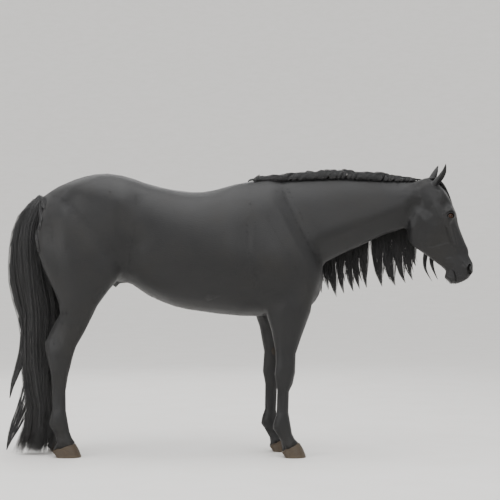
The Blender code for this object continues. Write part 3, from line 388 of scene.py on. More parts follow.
# what a fold is: view, its line, how far it reaches, how high it stands; in the side view the
# line is x, z, in the head's own view down, out, from the front y, z and from above x, y
folds = (
    ("head", ((0.272, 0.004), (0.330, 0.003), (0.392, 0.004)), 0.008, 0.0045),  # facial crest
    ("head", ((0.262, -0.012), (0.330, -0.016), (0.395, -0.010)), 0.010, -0.0035),
    ("head", ((0.120, -0.098), (0.160, -0.150), (0.205, -0.190), (0.262, -0.206), (0.318, -0.186)),
     0.012, 0.0035),
    ("head", ((0.170, -0.086), (0.235, -0.096), (0.300, -0.120)), 0.016, -0.0014),  # in the cheek muscle
    ("head", ((0.325, -0.178), (0.352, -0.140), (0.366, -0.090), (0.358, -0.040)),
     0.012, -0.0030),  # cheek's front edge
    ("head", ((0.402, 0.030), (0.382, -0.006), (0.376, -0.052), (0.372, -0.110), (0.352, -0.165)),
     0.0045, 0.0028),  # facial vein
    ("head", ((0.452, 0.020), (0.424, 0.006), (0.388, 0.000)), 0.004, 0.0022),
    ("head", ((0.300, 0.040), (0.350, 0.036), (0.410, 0.030)), 0.0035, 0.0018),
    ("head", ((0.235, -0.026), (0.190, -0.026), (0.142, -0.030)), 0.010, 0.0035),  # temple arch
    ("head", ((0.168, 0.044),), 0.020, -0.0070),  # hollow over the eye
    ("head", ((0.100, 0.020), (0.122, 0.052)), 0.020, 0.0030),
    ("head", ((0.420, 0.050), (0.480, 0.056), (0.520, 0.064)), 0.014, -0.0040),  # nasal notch
    ("head", ((0.452, -0.044), (0.500, -0.052)), 0.020, 0.0030),  # cheek before the lips
    ("head", ((0.506, 0.020), (0.524, 0.026), (0.536, 0.024)), 0.004, -0.0024),  # nostril wrinkles
    ("head", ((0.560, -0.066), (0.585, -0.068)), 0.010, 0.0022),
    ("head", ((0.542, -0.080), (0.556, -0.070)), 0.006, -0.0024),
    ("side", ((0.985, 1.290), (1.010, 1.245), (1.042, 1.215)), 0.016, -0.0014),  # throat folds
    ("side", ((0.960, 1.290), (0.985, 1.235)), 0.012, -0.0009),
    ("side", ((0.452, 1.100), (0.610, 1.196), (0.775, 1.262), (0.900, 1.318)),
     0.022, -0.0018),  # jugular groove
    ("side", ((0.470, 1.128), (0.620, 1.218), (0.780, 1.288), (0.900, 1.344)), 0.016, 0.0011),
    ("side", ((0.355, 1.330), (0.520, 1.366), (0.740, 1.420), (0.900, 1.452)),
     0.034, -0.0012),  # neck muscles
    ("side", ((0.258, 1.440), (0.322, 1.330), (0.392, 1.205), (0.430, 1.120)),
     0.036, -0.0009),  # before the shoulder
    ("side", ((0.120, 1.455), (0.196, 1.320), (0.262, 1.200), (0.330, 1.080)),
     0.020, 0.0008),  # shoulder blade's spine
    ("side", ((0.150, 1.260), (0.218, 1.172), (0.292, 1.078)), 0.019, -0.0014),
    ("side", ((0.050, 1.300), (0.062, 1.160), (0.098, 1.020), (0.150, 0.930)), 0.024, -0.0028),
    ("side", ((0.120, 1.060), (0.200, 0.985), (0.290, 0.950)), 0.019, -0.0022),
    ("side", ((0.222, 0.880), (0.216, 0.760), (0.222, 0.650)), 0.008, -0.0030),  # forearm
    ("side", ((0.312, 0.900), (0.306, 0.780), (0.286, 0.650)), 0.008, -0.0028),
    ("side", ((0.150, 0.905), (0.118, 0.888), (0.062, 0.884)), 0.016, -0.0028),  # elbow fold
    ("side", ((0.020, 0.955), (-0.140, 0.880), (-0.330, 0.905), (-0.430, 0.960)),
     0.008, 0.0019),  # belly vein
    ("side", ((-0.140, 0.880), (-0.220, 0.920), (-0.280, 0.980)), 0.006, 0.0012),
    ("side", ((-0.560, 1.000), (-0.640, 1.000), (-0.700, 0.965)), 0.022, -0.0028),  # flank fold
    ("side", ((-0.600, 1.060), (-0.560, 1.180), (-0.548, 1.300)), 0.035, -0.0033),
    ("side", ((-0.700, 1.420), (-0.756, 1.340), (-0.800, 1.240), (-0.800, 1.120)), 0.022, -0.0019),
    ("side", ((-0.940, 1.440), (-0.900, 1.340), (-0.902, 1.220), (-0.930, 1.080)), 0.019, -0.0025),
    ("side", ((-1.030, 1.330), (-1.024, 1.200), (-1.000, 1.060), (-0.985, 0.960)), 0.016, -0.0028),
    ("side", ((-0.792, 0.950), (-0.840, 0.880), (-0.886, 0.800), (-0.926, 0.720)),
     0.010, -0.0035),  # gaskin
    ("side", ((-0.860, 0.930), (-0.905, 0.850), (-0.945, 0.770)), 0.010, -0.0030),
    ("side", ((-0.930, 0.700), (-0.946, 0.620), (-0.962, 0.520)), 0.0050, 0.0026),  # hock vein
    ("side", ((0.236, 0.500), (0.240, 0.452), (0.236, 0.420)), 0.008, -0.0024),  # knee bones
    ("side", ((0.196, 0.520), (0.206, 0.470), (0.206, 0.430)), 0.008, 0.0030),
    ("side", ((0.236, 0.395), (0.234, 0.320), (0.232, 0.240)), 0.0070, -0.0034),  # tendon grooves
    ("side", ((0.214, 0.395), (0.213, 0.320), (0.210, 0.240)), 0.0060, 0.0020),
    ("side", ((-0.998, 0.560), (-0.990, 0.500)), 0.010, 0.0024),
    ("side", ((-1.006, 0.460), (-1.003, 0.360), (-1.000, 0.250)), 0.0070, -0.0034),
    ("side", ((0.236, 0.190), (0.246, 0.160)), 0.010, 0.0026),  # fetlocks
    ("side", ((-1.000, 0.205), (-0.992, 0.170)), 0.010, 0.0026),
    ("front", ((0.058, 1.100), (0.090, 0.990), (0.120, 0.900)), 0.018, -0.0050),
    ("front", ((0.000, 1.080), (0.000, 0.900)), 0.014, -0.0060),
    ("rear", ((0.082, 1.300), (0.094, 1.150), (0.104, 0.990)), 0.012, -0.0045),
    ("top", ((-0.920, 0.0), (-0.700, 0.0), (-0.520, 0.0)), 0.016, -0.0050),
)
foldViews = {"side": ((0, 2), 1, 0), "front": ((1, 2), 0, 1), "rear": ((1, 2), 0, -1), "top": ((0, 1), 2, 1)}
foldSpread = {"reach": 1.8, "ends": (-0.02, 0.16), "head": (0.95, 1.02)}
stance = {
    "behindForelegs": -0.3, "midline": (0.0, 0.04),    # where the hind legs and the left side start
    "legTop": 1.15, "legFade": 0.35,                   # the legs' shift fades in below their top
}
legShift = {kind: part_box(f"hoof_{kind}_right")[1].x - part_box(f"hoof_{kind}_left")[1].x
            for kind in ("fore", "hind")}


def squared(points):
    # the same points as if the left legs stood level with the right ones, both sides folded together
    level = points.copy()
    back = np.where(points[:, 0] > stance["behindForelegs"], legShift["fore"], legShift["hind"])
    low = np.clip((stance["legTop"] - points[:, 2]) / stance["legFade"], 0, 1)
    level[:, 0] += ease(points[:, 1], *stance["midline"]) * back * low
    level[:, 1] = np.abs(level[:, 1])
    return level


def foldSkin(points, normals):
    level = squared(points)
    head = inHead(level)
    inTheHead = ease(points[:, 0], *foldSpread["head"])
    push = np.zeros(len(points))
    for view, line, reach, height in folds:
        if view == "head":
            flat, facing = head[:, :2], np.abs(normals[:, 1]) * inTheHead
        else:
            plane, axis, way = foldViews[view]
            flat = level[:, plane]
            facing = np.clip(normals[:, axis] * way, 0, 1) if way else np.abs(normals[:, axis])
        distance, along = toLine(flat, line)
        fade = ease(0.5 - np.abs(along - 0.5), *foldSpread["ends"])
        near = np.clip(1 - (distance / (foldSpread["reach"] * reach)) ** 2, 0, 1) ** 2
        push += height * near * facing * fade
    return points + normals * push[:, None]


lidShape = {
    "halfLength": 0.0205, "above": 0.0160, "below": 0.0126, "point": 1.7,
    "ahead": 1.06, "behind": 0.97,             # the opening is a little longer towards the nose
    "turnOut": 0.24, "turnUp": 0.04, "slope": 0.43,    # the eye looks forwards; its corners slope
    "patch": 0.055, "patchDepth": -0.012,      # only skin this near to the eye is shaped
    "rimDepth": 0.0056, "upperDepth": 0.0010,
    "flank": 0.55, "skirt": 0.835, "fall": 0.9,        # how the lid leaves the eyeball, in its radii
    "blend": (0.002, 0.013), "edge": (-0.0030, 0.0004), "sunk": 0.0035,
    # brow, crease and pad of the upper lid, and two creases of the lower one: height, distance
    # from the opening, width
    "upper": ((0.0028, 0.019, 0.007), (-0.0014, 0.0075, 0.0022), (0.0008, 0.0035, 0.0020)),
    "lower": ((-0.0006, 0.0068, 0.0024), (-0.0006, 0.0135, 0.0024)),
    "upperStarts": (0.0, 0.008), "lowerStarts": (0.0, 0.006),
}


def eyeAxes(side):
    way = -1 if side == "right" else 1
    out = (Vector((0, way, 0)) + headOut * lidShape["turnOut"] - headDown * lidShape["turnUp"]).normalized()
    along = headOut + headDown * lidShape["slope"]
    along = (along - out * along.dot(out)).normalized()
    up = along.cross(out)
    return out, along, up if up.dot(headDown) < 0 else -up


def fromOpening(a, b):
    # distance from the lids' edge: a runs along the opening and b up; it is negative inside
    height = np.where(b > 0, lidShape["above"], lidShape["below"])
    length = lidShape["halfLength"] * np.where(a > 0, lidShape["ahead"], lidShape["behind"])
    point = lidShape["point"]
    share = (np.abs(a / length) ** point + np.abs(b / height) ** point) ** (1 / point)
    span = height + (length - height) * np.clip(a / length, -1, 1) ** 2
    return (share - 1) * span


def shapeLids(points):
    for side, spot in eyeSpot.items():
        out, along, up = [np.array(axis) for axis in eyeAxes(side)]
        offset = points - np.array(spot)
        a, b, depth = offset @ along, offset @ up, offset @ out
        near = (np.hypot(a, b) < lidShape["patch"]) & (depth > lidShape["patchDepth"])
        a, b, depth = a[near], b[near], depth[near]
        outside = fromOpening(a, b)
        radius = eyeRadius + lidShape["rimDepth"] + lidShape["upperDepth"] * (b > 0)
        reach = np.hypot(a, b)
        ball = np.sqrt(np.clip(radius ** 2 - reach ** 2, (lidShape["flank"] * radius) ** 2, None))
        lid = ball - np.clip(reach - lidShape["skirt"] * radius, 0, None) * lidShape["fall"]
        target = depth + (lid - depth) * (1 - ease(outside, *lidShape["blend"]))
        for part, rise in (("upper", b), ("lower", -b)):
            share = ease(rise, *lidShape[part + "Starts"])
            for height, place, width in lidShape[part]:
                target += height * share * np.exp(-((outside - place) / width) ** 2)
        behind = np.sqrt(np.clip((eyeRadius - lidShape["sunk"]) ** 2 - a ** 2 - b ** 2, 0.0, None))
        inside = 1 - ease(outside, *lidShape["edge"])
        target = target + (behind - target) * inside
        points[near] += (target - depth)[:, None] * out
    return points


muzzleShape = {
    "from": 0.45, "facing": (0.30, 0.62), "apart": (0.020, 0.028),     # the nostrils' sides of the muzzle
    "nostril": ((0.536, 0.056), (0.546, 0.044), (0.560, 0.038), (0.574, 0.040), (0.583, 0.047)),
    "nostrilWidth": 0.0068, "comma": (0.72, 0.5),      # a comma, widest below
    "nostrilDepth": 0.017, "inwards": (0.80, 0.30, 0.45),      # to the middle, back and up
    "nostrilEdge": (0.30, 1.15), "rim": 0.0034, "rimPlace": 1.7, "rimWidth": 0.55,
    "mouth": ((0.522, -0.047), (0.540, -0.041), (0.560, -0.041), (0.585, -0.046), (0.612, -0.047)),
    "mouthWidth": 0.0021, "mouthDepth": 0.0046, "mouthFade": ((0.0, 0.25), (0.82, 1.0)),
    "frontFade": 0.6,                          # so much less of the slit in front
    "lip": 0.0013, "lipPlace": 2.6, "lipWidth": 1.6,
}


def shapeMuzzle(points, normals):
    shape = muzzleShape
    head = inHead(points)
    where = head[:, 0] > shape["from"]
    head, moved, facing = head[where], points[where].copy(), normals[where]
    way = np.sign(head[:, 2])
    sideways = ease(np.abs(facing[:, 1]), *shape["facing"]) * ease(np.abs(head[:, 2]), *shape["apart"])
    nostril, along = toLine(head[:, :2], shape["nostril"])
    least, more = shape["comma"]
    width = shape["nostrilWidth"] * (least + more * along)
    rimSpread = np.exp(-((nostril - shape["rimPlace"] * width) / (shape["rimWidth"] * width)) ** 2)
    moved += facing * (shape["rim"] * rimSpread * sideways)[:, None]
    low, high = shape["nostrilEdge"]
    hole = (1 - ease(nostril, low * width, high * width)) * sideways
    middle, back, up = shape["inwards"]
    inwards = (-middle * np.array((0, 1, 0))[None, :] * way[:, None]
               - back * np.array(headOut)[None, :] - up * np.array(headDown)[None, :])
    moved += inwards * (hole * shape["nostrilDepth"])[:, None]
    mouth, along = toLine(head[:, :2], shape["mouth"])
    thin = shape["mouthWidth"]
    lips = shape["lip"] * np.exp(-((mouth - shape["lipPlace"] * thin) / (shape["lipWidth"] * thin)) ** 2)
    slit = shape["mouthDepth"] * np.clip(1 - mouth / thin, 0, 1)
    corner, front = (ease(along, *ends) for ends in shape["mouthFade"])
    moved += facing * ((lips - slit) * corner * (1 - shape["frontFade"] * front))[:, None]
    points[where] = moved
    return points


def eyeDistance(points):
    return np.minimum(*[np.linalg.norm(points - np.array(spot), axis=1) for spot in eyeSpot.values()])


def mouthDistance(points):
    return toLine(inHead(points)[:, :2], muzzleShape["mouth"])[0]


def nostrilDistance(points):
    return toLine(inHead(points)[:, :2], muzzleShape["nostril"])[0]


def lipDistance(points):
    return np.minimum(mouthDistance(points), nostrilDistance(points))


def soothe(thing, weight, rounds):
    # evens out only the places that have some weight
    points = readPoints(thing)
    near = weight > 0.01
    edges = readEdges(thing)
    edges = edges[near[edges[:, 0]] | near[edges[:, 1]]]
    counts = np.maximum(neighbourCounts(edges, len(points)), 1)
    for _ in range(rounds):
        middle = neighbourSums(points, edges) / counts[:, None]
        points[near] += ((middle - points) * (0.5 * weight)[:, None])[near]
    writePoints(thing, points)


def thinOut(thing, triangles, keep, levels=8):
    # collapses edges, least where keep is high
    group = thing.vertex_groups.new(name="keep")
    steps = np.round(np.clip(keep, 0, 1) * levels).astype(int)
    for level in range(1, levels + 1):
        group.add(np.nonzero(steps == level)[0].tolist(), level / levels, "REPLACE")
    thing.data.calc_loop_triangles()
    ratio = triangles / len(thing.data.loop_triangles)
    applyModifier(thing, "DECIMATE", ratio=ratio, vertex_group="keep", invert_vertex_group=True,
                  vertex_group_factor=4.0)
    thing.vertex_groups.clear()


# hooves: horn walls with growth rings, bulbs at the heel, sole and frog below

hoofShape = {
    "sides": 72, "cuts": 17, "bevel": 0.0030, "bevelTop": 0.02, "topWidth": 0.049,
    "ringDepth": 0.00042, "rings": 7.5, "band": 0.0011, "bandPlace": 0.955, "bandWidth": 0.05,
    "bulb": 0.0040, "bulbBack": (0.35, 0.85), "bulbPlace": 0.42, "bulbWidth": 0.30, "bulbRise": (0.25, 0.75),
    "cleft": 0.35, "cleftBack": (0.6, 1.0),                        # between the two bulbs
    "soleRise": 0.0055, "soleEdge": (0.10, 0.45), "frog": 0.75, "frogEdge": (0.0, 0.10),
    "frogWidth": 0.34, "frogTaper": 0.20, "frogLength": 0.62,      # in shares of the sole
    "hollow": 0.06, "toeRound": 2.1, "heelRound": 3.0, "dome": 0.10, "rimFrom": 0.985,
    "soleSteps": ((0.13, 0.0), (0.10, 0.04), (0.35, 0.02), (0.25, 0.0)),       # insets and lifts
    "topSteps": ((0.10, 0.05), (0.20, 0.06), (0.40, 0.02)),
    "flareReach": 0.075, "flareBelow": -0.03, "flareAbove": 0.05, "flareGap": 0.0008, "flareMost": 0.6,
    "flareFade": (0.0, 0.036), "flareCore": (0.015, 0.030),        # how the skin widens to the rim
    "fore": {"coronetBehindToe": 0.038, "heelBeforeBack": 0.015, "backHeight": 0.030, "halfWidth": 0.064},
    "hind": {"coronetBehindToe": 0.034, "heelBeforeBack": 0.018, "backHeight": 0.034, "halfWidth": 0.059},
}


def rimLevel(x, kind, lowest, highest):
    # the height of a hoof's upper rim, which falls from the toe to the heel
    size = hoofShape[kind]
    back, front = lowest.x, highest.x - size["coronetBehindToe"]
    return size["backHeight"] + (x - back) * (highest.z - size["backHeight"]) / (front - back)


def shapeCoronets(points):
    # the skin widens above each hoof and meets its rim
    shape = hoofShape
    for kind in ("fore", "hind"):
        for side in ("right", "left"):
            lowest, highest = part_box(f"hoof_{kind}_{side}")
            back, front = lowest.x, highest.x - shape[kind]["coronetBehindToe"]
            x, y = points[:, 0] - (back + front) / 2, points[:, 1] - (lowest.y + highest.y) / 2
            above = points[:, 2] - rimLevel(points[:, 0], kind, lowest, highest)
            near = (np.hypot(x, y) < shape["flareReach"]) & (above > shape["flareBelow"]) \
                & (above < shape["flareAbove"])
            reach = np.maximum(np.hypot(x, y), 1e-6)
            rim = 1 / np.hypot(x / reach / ((front - back) / 2), y / reach / shape["topWidth"])
            grow = np.maximum((rim - shape["flareGap"]) / reach, 1) - 1
            grow = near * np.minimum(grow, shape["flareMost"]) * (1 - ease(above, *shape["flareFade"])) \
                * ease(reach, *shape["flareCore"])
            points[:, 0] += x * grow
            points[:, 1] += y * grow
    return points


def splitFeatures(whole):
    # smaller faces for the lids, the nostrils and the mouth
    points = readPoints(whole)
    muzzle = (inHead(points)[:, 0] > skinShape["splitMuzzle"]) & beforeThroat(points)
    refine(whole, (eyeDistance(points) < skinShape["splitEyes"][0]) | muzzle)
    points = readPoints(whole)
    lips = (lipDistance(points) < skinShape["splitLips"]) & beforeThroat(points)
    refine(whole, (eyeDistance(points) < skinShape["splitEyes"][1]) | lips)
    points = readPoints(whole)
    refine(whole, (mouthDistance(points) < skinShape["splitMouth"]) & beforeThroat(points))


soothed = (  # distance from what is evened out, where that fades, rounds
    (eyeDistance, (0.030, 0.036), 3),
    (nostrilDistance, (0.012, 0.017), 9),
    (mouthDistance, (0.004, 0.008), 1),
)


def sootheFeatures(whole):
    points = readPoints(whole)
    for distanceTo, fade, rounds in soothed:
        soothe(whole, (1 - ease(distanceTo(points), *fade)) * beforeThroat(points), rounds)


keptFaces = {  # all the fine faces stay at the eyes and lips, and a share on muzzle and head
    "eyes": (0.030, 0.060), "lips": (0.010, 0.016),
    "muzzle": (0.46, 0.52), "muzzleShare": 0.6, "head": (0.90, 1.0), "headShare": 0.25,
}


def keepShare(points):
    inTheHead = beforeThroat(points)
    eyes = 1 - ease(eyeDistance(points), *keptFaces["eyes"])
    lips = (1 - ease(lipDistance(points), *keptFaces["lips"])) * inTheHead
    muzzle = keptFaces["muzzleShare"] * ease(inHead(points)[:, 0], *keptFaces["muzzle"]) * inTheHead
    head = keptFaces["headShare"] * ease(points[:, 0], *keptFaces["head"])
    return np.maximum.reduce([eyes, lips, muzzle, head])


def makeSkin():
    whole = smoothSkin()
    print("smooth skin", len(whole.data.vertices))
    splitFeatures(whole)
    writePoints(whole, foldSkin(readPoints(whole), readPoints(whole, "normal")))
    writePoints(whole, shapeMuzzle(readPoints(whole), readPoints(whole, "normal")))
    writePoints(whole, shapeLids(readPoints(whole)))
    writePoints(whole, shapeCoronets(readPoints(whole)))
    sootheFeatures(whole)
    inwards = readPoints(whole, "normal") * (skinShape["closing"] + skinShape["coatDepth"])
    writePoints(whole, readPoints(whole) - inwards)
    print("folded skin", len(whole.data.vertices))
    thinOut(whole, skinShape["mostTriangles"], keepShare(readPoints(whole)))
    pick(whole)
    bpy.ops.object.shade_smooth()
    print("skin", len(whole.data.polygons), "faces")
    return whole


skin = makeSkin()
skinTree = BVHTree.FromObject(skin, bpy.context.evaluated_depsgraph_get())
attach(skin, "root")
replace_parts(skin, *fleshNodes, *earNodes)


# short black horsehair: dense, flat and softly shining along its lie; a streak is drawn 3 mm
# wide, many times a real hair, so that it shows

coatLook = {
    # the darkest colour is painted shade for the inside of the nostrils, the mouth slit and the lid rims
    "dark": "#101011", "middle": "#151516", "worn": "#1b1a19", "bare": "#121112", "paintedShade": "#070606",
    "streakWide": 300.0, "streakLong": 36.0, "streakTilt": 0.3, "patches": 5.0, "streakWear": 0.45,
    "roughness": 0.47, "pores": 420.0, "bump": 0.32, "bumpDepth": 0.0022,
}
coatMarks = {  # from where to where each mark grows: place, height or distance, in metres
    "head": (0.98, 1.04), "legs": (0.82, 1.02), "muzzle": (0.555, 0.600), "muzzleShare": 0.7,
    "lids": (0.0235, 0.0275), "nostrils": (0.006, 0.012),
    "lidRims": (0.0222, 0.0262), "lidRimShare": 0.75, "inNostrils": (0.004, 0.009), "mouth": (0.0012, 0.0030),
}


def coatMaterial():
    look = coatLook
    material, surface = newMaterial("shortHorsehair", IOR=1.5, Sheen_Weight=0.04, Sheen_Roughness=0.5,
                                    Specular_IOR_Level=0.33)
    place = addNode(material, "TexCoord").outputs["Object"]
    wide, long = look["streakWide"], look["streakLong"]
    back = addNode(material, "Mapping", {"Vector": place, "Scale": (long, wide, wide * 0.8),
                                         "Rotation": (0, look["streakTilt"], 0)}).outputs["Vector"]
    down = addNode(material, "Mapping", {"Vector": place, "Scale": (wide, wide, long)}).outputs["Vector"]
    bodyHair = addNode(material, "TexNoise", {"Vector": back, "Scale": 1.0, "Detail": 3.0}).outputs["Fac"]
    legHair = addNode(material, "TexNoise", {"Vector": down, "Scale": 1.0, "Detail": 3.0}).outputs["Fac"]
    hangs = addNode(material, "Attribute", attribute_name="hangs").outputs["Fac"]
    hair = addNode(material, "Mix", {0: hangs, 2: bodyHair, 3: legHair}, data_type="FLOAT").outputs[0]
    patch = addNode(material, "TexNoise", {"Vector": place, "Scale": look["patches"], "Detail": 3.0})
    wear = addNode(material, "Math", {0: hair, 1: look["streakWear"]}, operation="MULTIPLY").outputs[0]
    blend = addNode(material, "Math", {0: wear, 1: patch.outputs["Fac"]}, operation="ADD").outputs[0]
    colour = addRamp(material, blend, ((0.42, look["dark"]), (0.70, look["middle"]), (0.95, look["worn"])))
    bare = addNode(material, "Attribute", attribute_name="bare").outputs["Fac"]
    onSkin = addNode(material, "Mix", {0: bare, 6: colour, 7: fromHex(look["bare"])}, data_type="RGBA")
    # painted shade: near black inside the nostrils, in the mouth slit and at the lid rims
    paintedShade = addNode(material, "Attribute", attribute_name="paintedShade").outputs["Fac"]
    allOver = addNode(material, "Mix", {0: paintedShade, 6: onSkin.outputs[2], 7: fromHex(look["paintedShade"])},
                      data_type="RGBA")
    gloss = addNode(material, "MapRange", {"Value": blend, "From Min": 0.4, "From Max": 1.0,
                                           "To Min": look["roughness"] - 0.06,
                                           "To Max": look["roughness"] + 0.10})
    pores = addNode(material, "TexVoronoi", {"Vector": place, "Scale": look["pores"]}).outputs["Distance"]
    fine = addNode(material, "Mix", {0: bare, 2: hair, 3: pores}, data_type="FLOAT").outputs[0]
    bump = addNode(material, "Bump", {"Height": fine, "Strength": look["bump"],
                                      "Distance": look["bumpDepth"]})
    setLinks(material, surface, allOver.outputs[2], gloss.outputs[0], bump.outputs["Normal"])
    return material


def markSkin():
    # how far the coat hangs instead of lying back, where the skin is bare, and painted shade inside the
    # nostrils, in the mouth slit and at the lid rims
    marks = coatMarks
    points = readPoints(skin)
    inTheHead = ease(points[:, 0], *marks["head"])
    eye, nostril, mouth = eyeDistance(points), nostrilDistance(points), mouthDistance(points)
    addAttribute(skin, "hangs", np.maximum(1 - ease(points[:, 2], *marks["legs"]), inTheHead))
    muzzle = ease(inHead(points)[:, 0], *marks["muzzle"]) * inTheHead * marks["muzzleShare"]
    lids = 1 - ease(eye, *marks["lids"])
    nostrils = (1 - ease(nostril, *marks["nostrils"])) * inTheHead
    addAttribute(skin, "bare", np.maximum(np.maximum(muzzle, lids), nostrils))
    # painted shade, darkest inside the nostrils, in the mouth slit and at the lid rims
    inNostrils = (1 - ease(nostril, *marks["inNostrils"])) * inTheHead
    mouth = (1 - ease(mouth, *marks["mouth"])) * inTheHead
    lidRims = marks["lidRimShare"] * (1 - ease(eye, *marks["lidRims"]))
    addAttribute(skin, "paintedShade", np.maximum(np.maximum(inNostrils, mouth), lidRims))
    skin.data.materials.append(coatMaterial())


markSkin()
print("coat painted")


# the unwrap of the skin's own shape, on which each tuft finds its root's place

def unwrapFlesh():
    flesh = meshOf(fleshNodes + earNodes, "unwrapped")
    bpy.ops.object.mode_set(mode="EDIT")
    bpy.ops.mesh.select_all(action="SELECT")
    bpy.ops.uv.smart_project(angle_limit=math.radians(66), island_margin=0.004)
    bpy.ops.object.mode_set(mode="OBJECT")
    tree = BVHTree.FromObject(flesh, bpy.context.evaluated_depsgraph_get())
    faces = [([flesh.data.vertices[v].co.copy() for v in face.vertices],
              [flesh.data.uv_layers.active.data[k].uv.to_3d() for k in face.loop_indices])
             for face in flesh.data.polygons]
    bpy.data.objects.remove(flesh)
    return tree, faces


unwrapTree, unwrapFaces = unwrapFlesh()


def rootPlace(point):
    spot, _, face, _ = unwrapTree.find_nearest(Vector(point))
    corners, places = unwrapFaces[face]
    return barycentric_transform(spot, *corners, *places)[:2]


# a head of hair: closed, pointed strands of three sides along the paths

strandPatch = 0.003        # a strand's share of the unwrap, at its root's place


def strandFaces(count, steps):
    # three walls along each strand and a cap at both its ends
    base = (np.arange(count)[:, None] * steps + np.arange(steps - 1)[None, :]).reshape(-1) * 3
    walls = [np.stack([base + k, base + 3 + k, base + 3 + (k + 1) % 3, base + (k + 1) % 3], axis=1)
             for k in range(3)]
    first = np.arange(count) * steps * 3
    last = first + (steps - 1) * 3
    caps = (np.stack([first, first + 1, first + 2], axis=1), np.stack([last + 2, last + 1, last], axis=1))
    return np.concatenate(walls).tolist() + np.concatenate(caps).tolist()


def makeStrands(name, paths, widths, facing, shades, flatness=0.5, roots=None):
    count, steps = paths.shape[:2]
    tangent = unit(np.gradient(paths, axis=1))
    across = unit(np.cross(tangent, facing))
    outward = np.cross(across, tangent)
    rings = []
    for angle in (90, 210, 330):
        a = math.radians(angle)
        rings.append(paths + (across * math.cos(a) + outward * math.sin(a) * flatness) * widths[:, :, None])
    mesh = bpy.data.meshes.new(name)
    mesh.from_pydata(np.stack(rings, axis=2).reshape(-1, 3).tolist(), [], strandFaces(count, steps))
    hair = bpy.data.objects.new(name, mesh)
    bpy.context.scene.collection.objects.link(hair)
    pick(hair)
    bpy.ops.object.shade_smooth()
    each = steps * 3
    addAttribute(hair, "shade", np.repeat(shades, each))
    along = np.tile(np.repeat(np.linspace(0, 1, steps), 3), count)
    addAttribute(hair, "along", along)
    places = np.array([rootPlace(root) for root in (paths[:, 0] if roots is None else roots)])
    places = np.repeat(places, each, axis=0)
    places[:, 0] += strandPatch * np.tile(np.array((0.0, 0.5, 1.0)), count * steps)
    places[:, 1] += strandPatch * along
    corners = np.empty(len(mesh.loops), np.int32)
    mesh.loops.foreach_get("vertex_index", corners)
    mesh.uv_layers.new(name="OFBake").data.foreach_set("uv", places[corners].astype(np.float32).ravel())
    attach(hair, "root")
    return hair


def shadeLike(hair, facing):
    # the strands take the light as the coat under them does
    each = len(hair.data.vertices) // len(facing)
    hair.data.normals_split_custom_set_from_vertices(np.repeat(facing, each, axis=0).tolist())


# long black horsehair: coarse, smooth and a little glossy; a strand is drawn some 2 mm wide

hairLook = {
    "dark": "#111112", "middle": "#1c1c1d", "light": "#2b2a2a", "roughness": 0.42,
    "clouds": 14.0, "cloudShare": 0.4, "tipLight": 0.22, "ridges": 520.0, "bump": 0.25, "bumpDepth": 0.0006,
}


def hairMaterial():
    look = hairLook
    material, surface = newMaterial("longHorsehair", IOR=1.55, Sheen_Weight=0.10, Sheen_Roughness=0.4,
                                    Specular_IOR_Level=0.5)
    shade = addNode(material, "Attribute", attribute_name="shade").outputs["Fac"]
    along = addNode(material, "Attribute", attribute_name="along").outputs["Fac"]
    place = addNode(material, "TexCoord").outputs["Object"]
    cloud = addNode(material, "TexNoise", {"Vector": place, "Scale": look["clouds"], "Detail": 2.0})
    mixed = addNode(material, "Mix", {0: look["cloudShare"], 2: shade, 3: cloud.outputs["Fac"]},
                    data_type="FLOAT")
    tips = addNode(material, "Math", {0: along, 1: look["tipLight"], 2: mixed.outputs[0]},
                   operation="MULTIPLY_ADD")
    colour = addRamp(material, tips.outputs[0],
                     ((0.15, look["dark"]), (0.55, look["middle"]), (1.0, look["light"])))
    gloss = addNode(material, "MapRange", {"Value": shade, "To Min": look["roughness"] - 0.07,
                                           "To Max": look["roughness"] + 0.12})
    ridge = addNode(material, "TexNoise", {"Vector": place, "Scale": look["ridges"], "Detail": 1.0})
    bump = addNode(material, "Bump", {"Height": ridge.outputs["Fac"], "Strength": look["bump"],
                                      "Distance": look["bumpDepth"]})
    setLinks(material, surface, colour, gloss.outputs[0], bump.outputs["Normal"])
    return material


longHair = hairMaterial()


def skinHit(x, y, z, towards):
    return skinTree.ray_cast(Vector((x, y, z)), Vector(towards))


lockShape = {
    "strandWidth": 0.0013, "gather": 2.2, "wander": 0.10, "waves": (4, 9),
    "taper": ((0, 0.08, 0.72, 0.93, 1.0), (0.7, 1.0, 1.0, 0.65, 0.08)),
}


def spreadLock(guide, facing, halfWidths, strands, thickness, tipShare, ragged=0.22):
    # strands of one lock: they fill it and run together in its point
    steps = len(guide)
    across = unit(np.cross(unit(np.gradient(guide, axis=0)), facing))
    outward = np.cross(across, unit(np.gradient(guide, axis=0)))
    angle, radius = dice.uniform(0, 2 * math.pi, strands), np.sqrt(dice.uniform(0, 1, strands))
    p, q = radius * np.cos(angle), radius * np.sin(angle)
    share = np.linspace(0, 1, steps)
    ends = 1 - ragged * dice.uniform(0, 1, strands) ** 2
    stations = share[None, :] * ends[:, None]

    def along(values):
        made = [np.interp(stations.ravel(), share, values[:, k]) for k in range(values.shape[1])]
        return np.stack(made, axis=1).reshape(strands, steps, -1)

    wide = np.interp(stations, share, halfWidths)
    bundle = 1 - (1 - tipShare) * stations ** lockShape["gather"]
    sideways = dice.normal(0, lockShape["wander"], (strands, 1))
    waves = stations * dice.uniform(*lockShape["waves"], (strands, 1))
    wander = sideways * np.sin(waves + dice.uniform(0, 6.28, (strands, 1)))
    offset = (p[:, None] * bundle + wander)[:, :, None] * wide[:, :, None] * along(across)
    offset += (q[:, None] * bundle * thickness)[:, :, None] * wide[:, :, None] * along(outward)
    taper = np.interp(share, *lockShape["taper"])
    widths = lockShape["strandWidth"] * dice.uniform(0.7, 1.3, (strands, 1)) * taper[None, :]
    return along(guide) + offset, widths, along(outward)


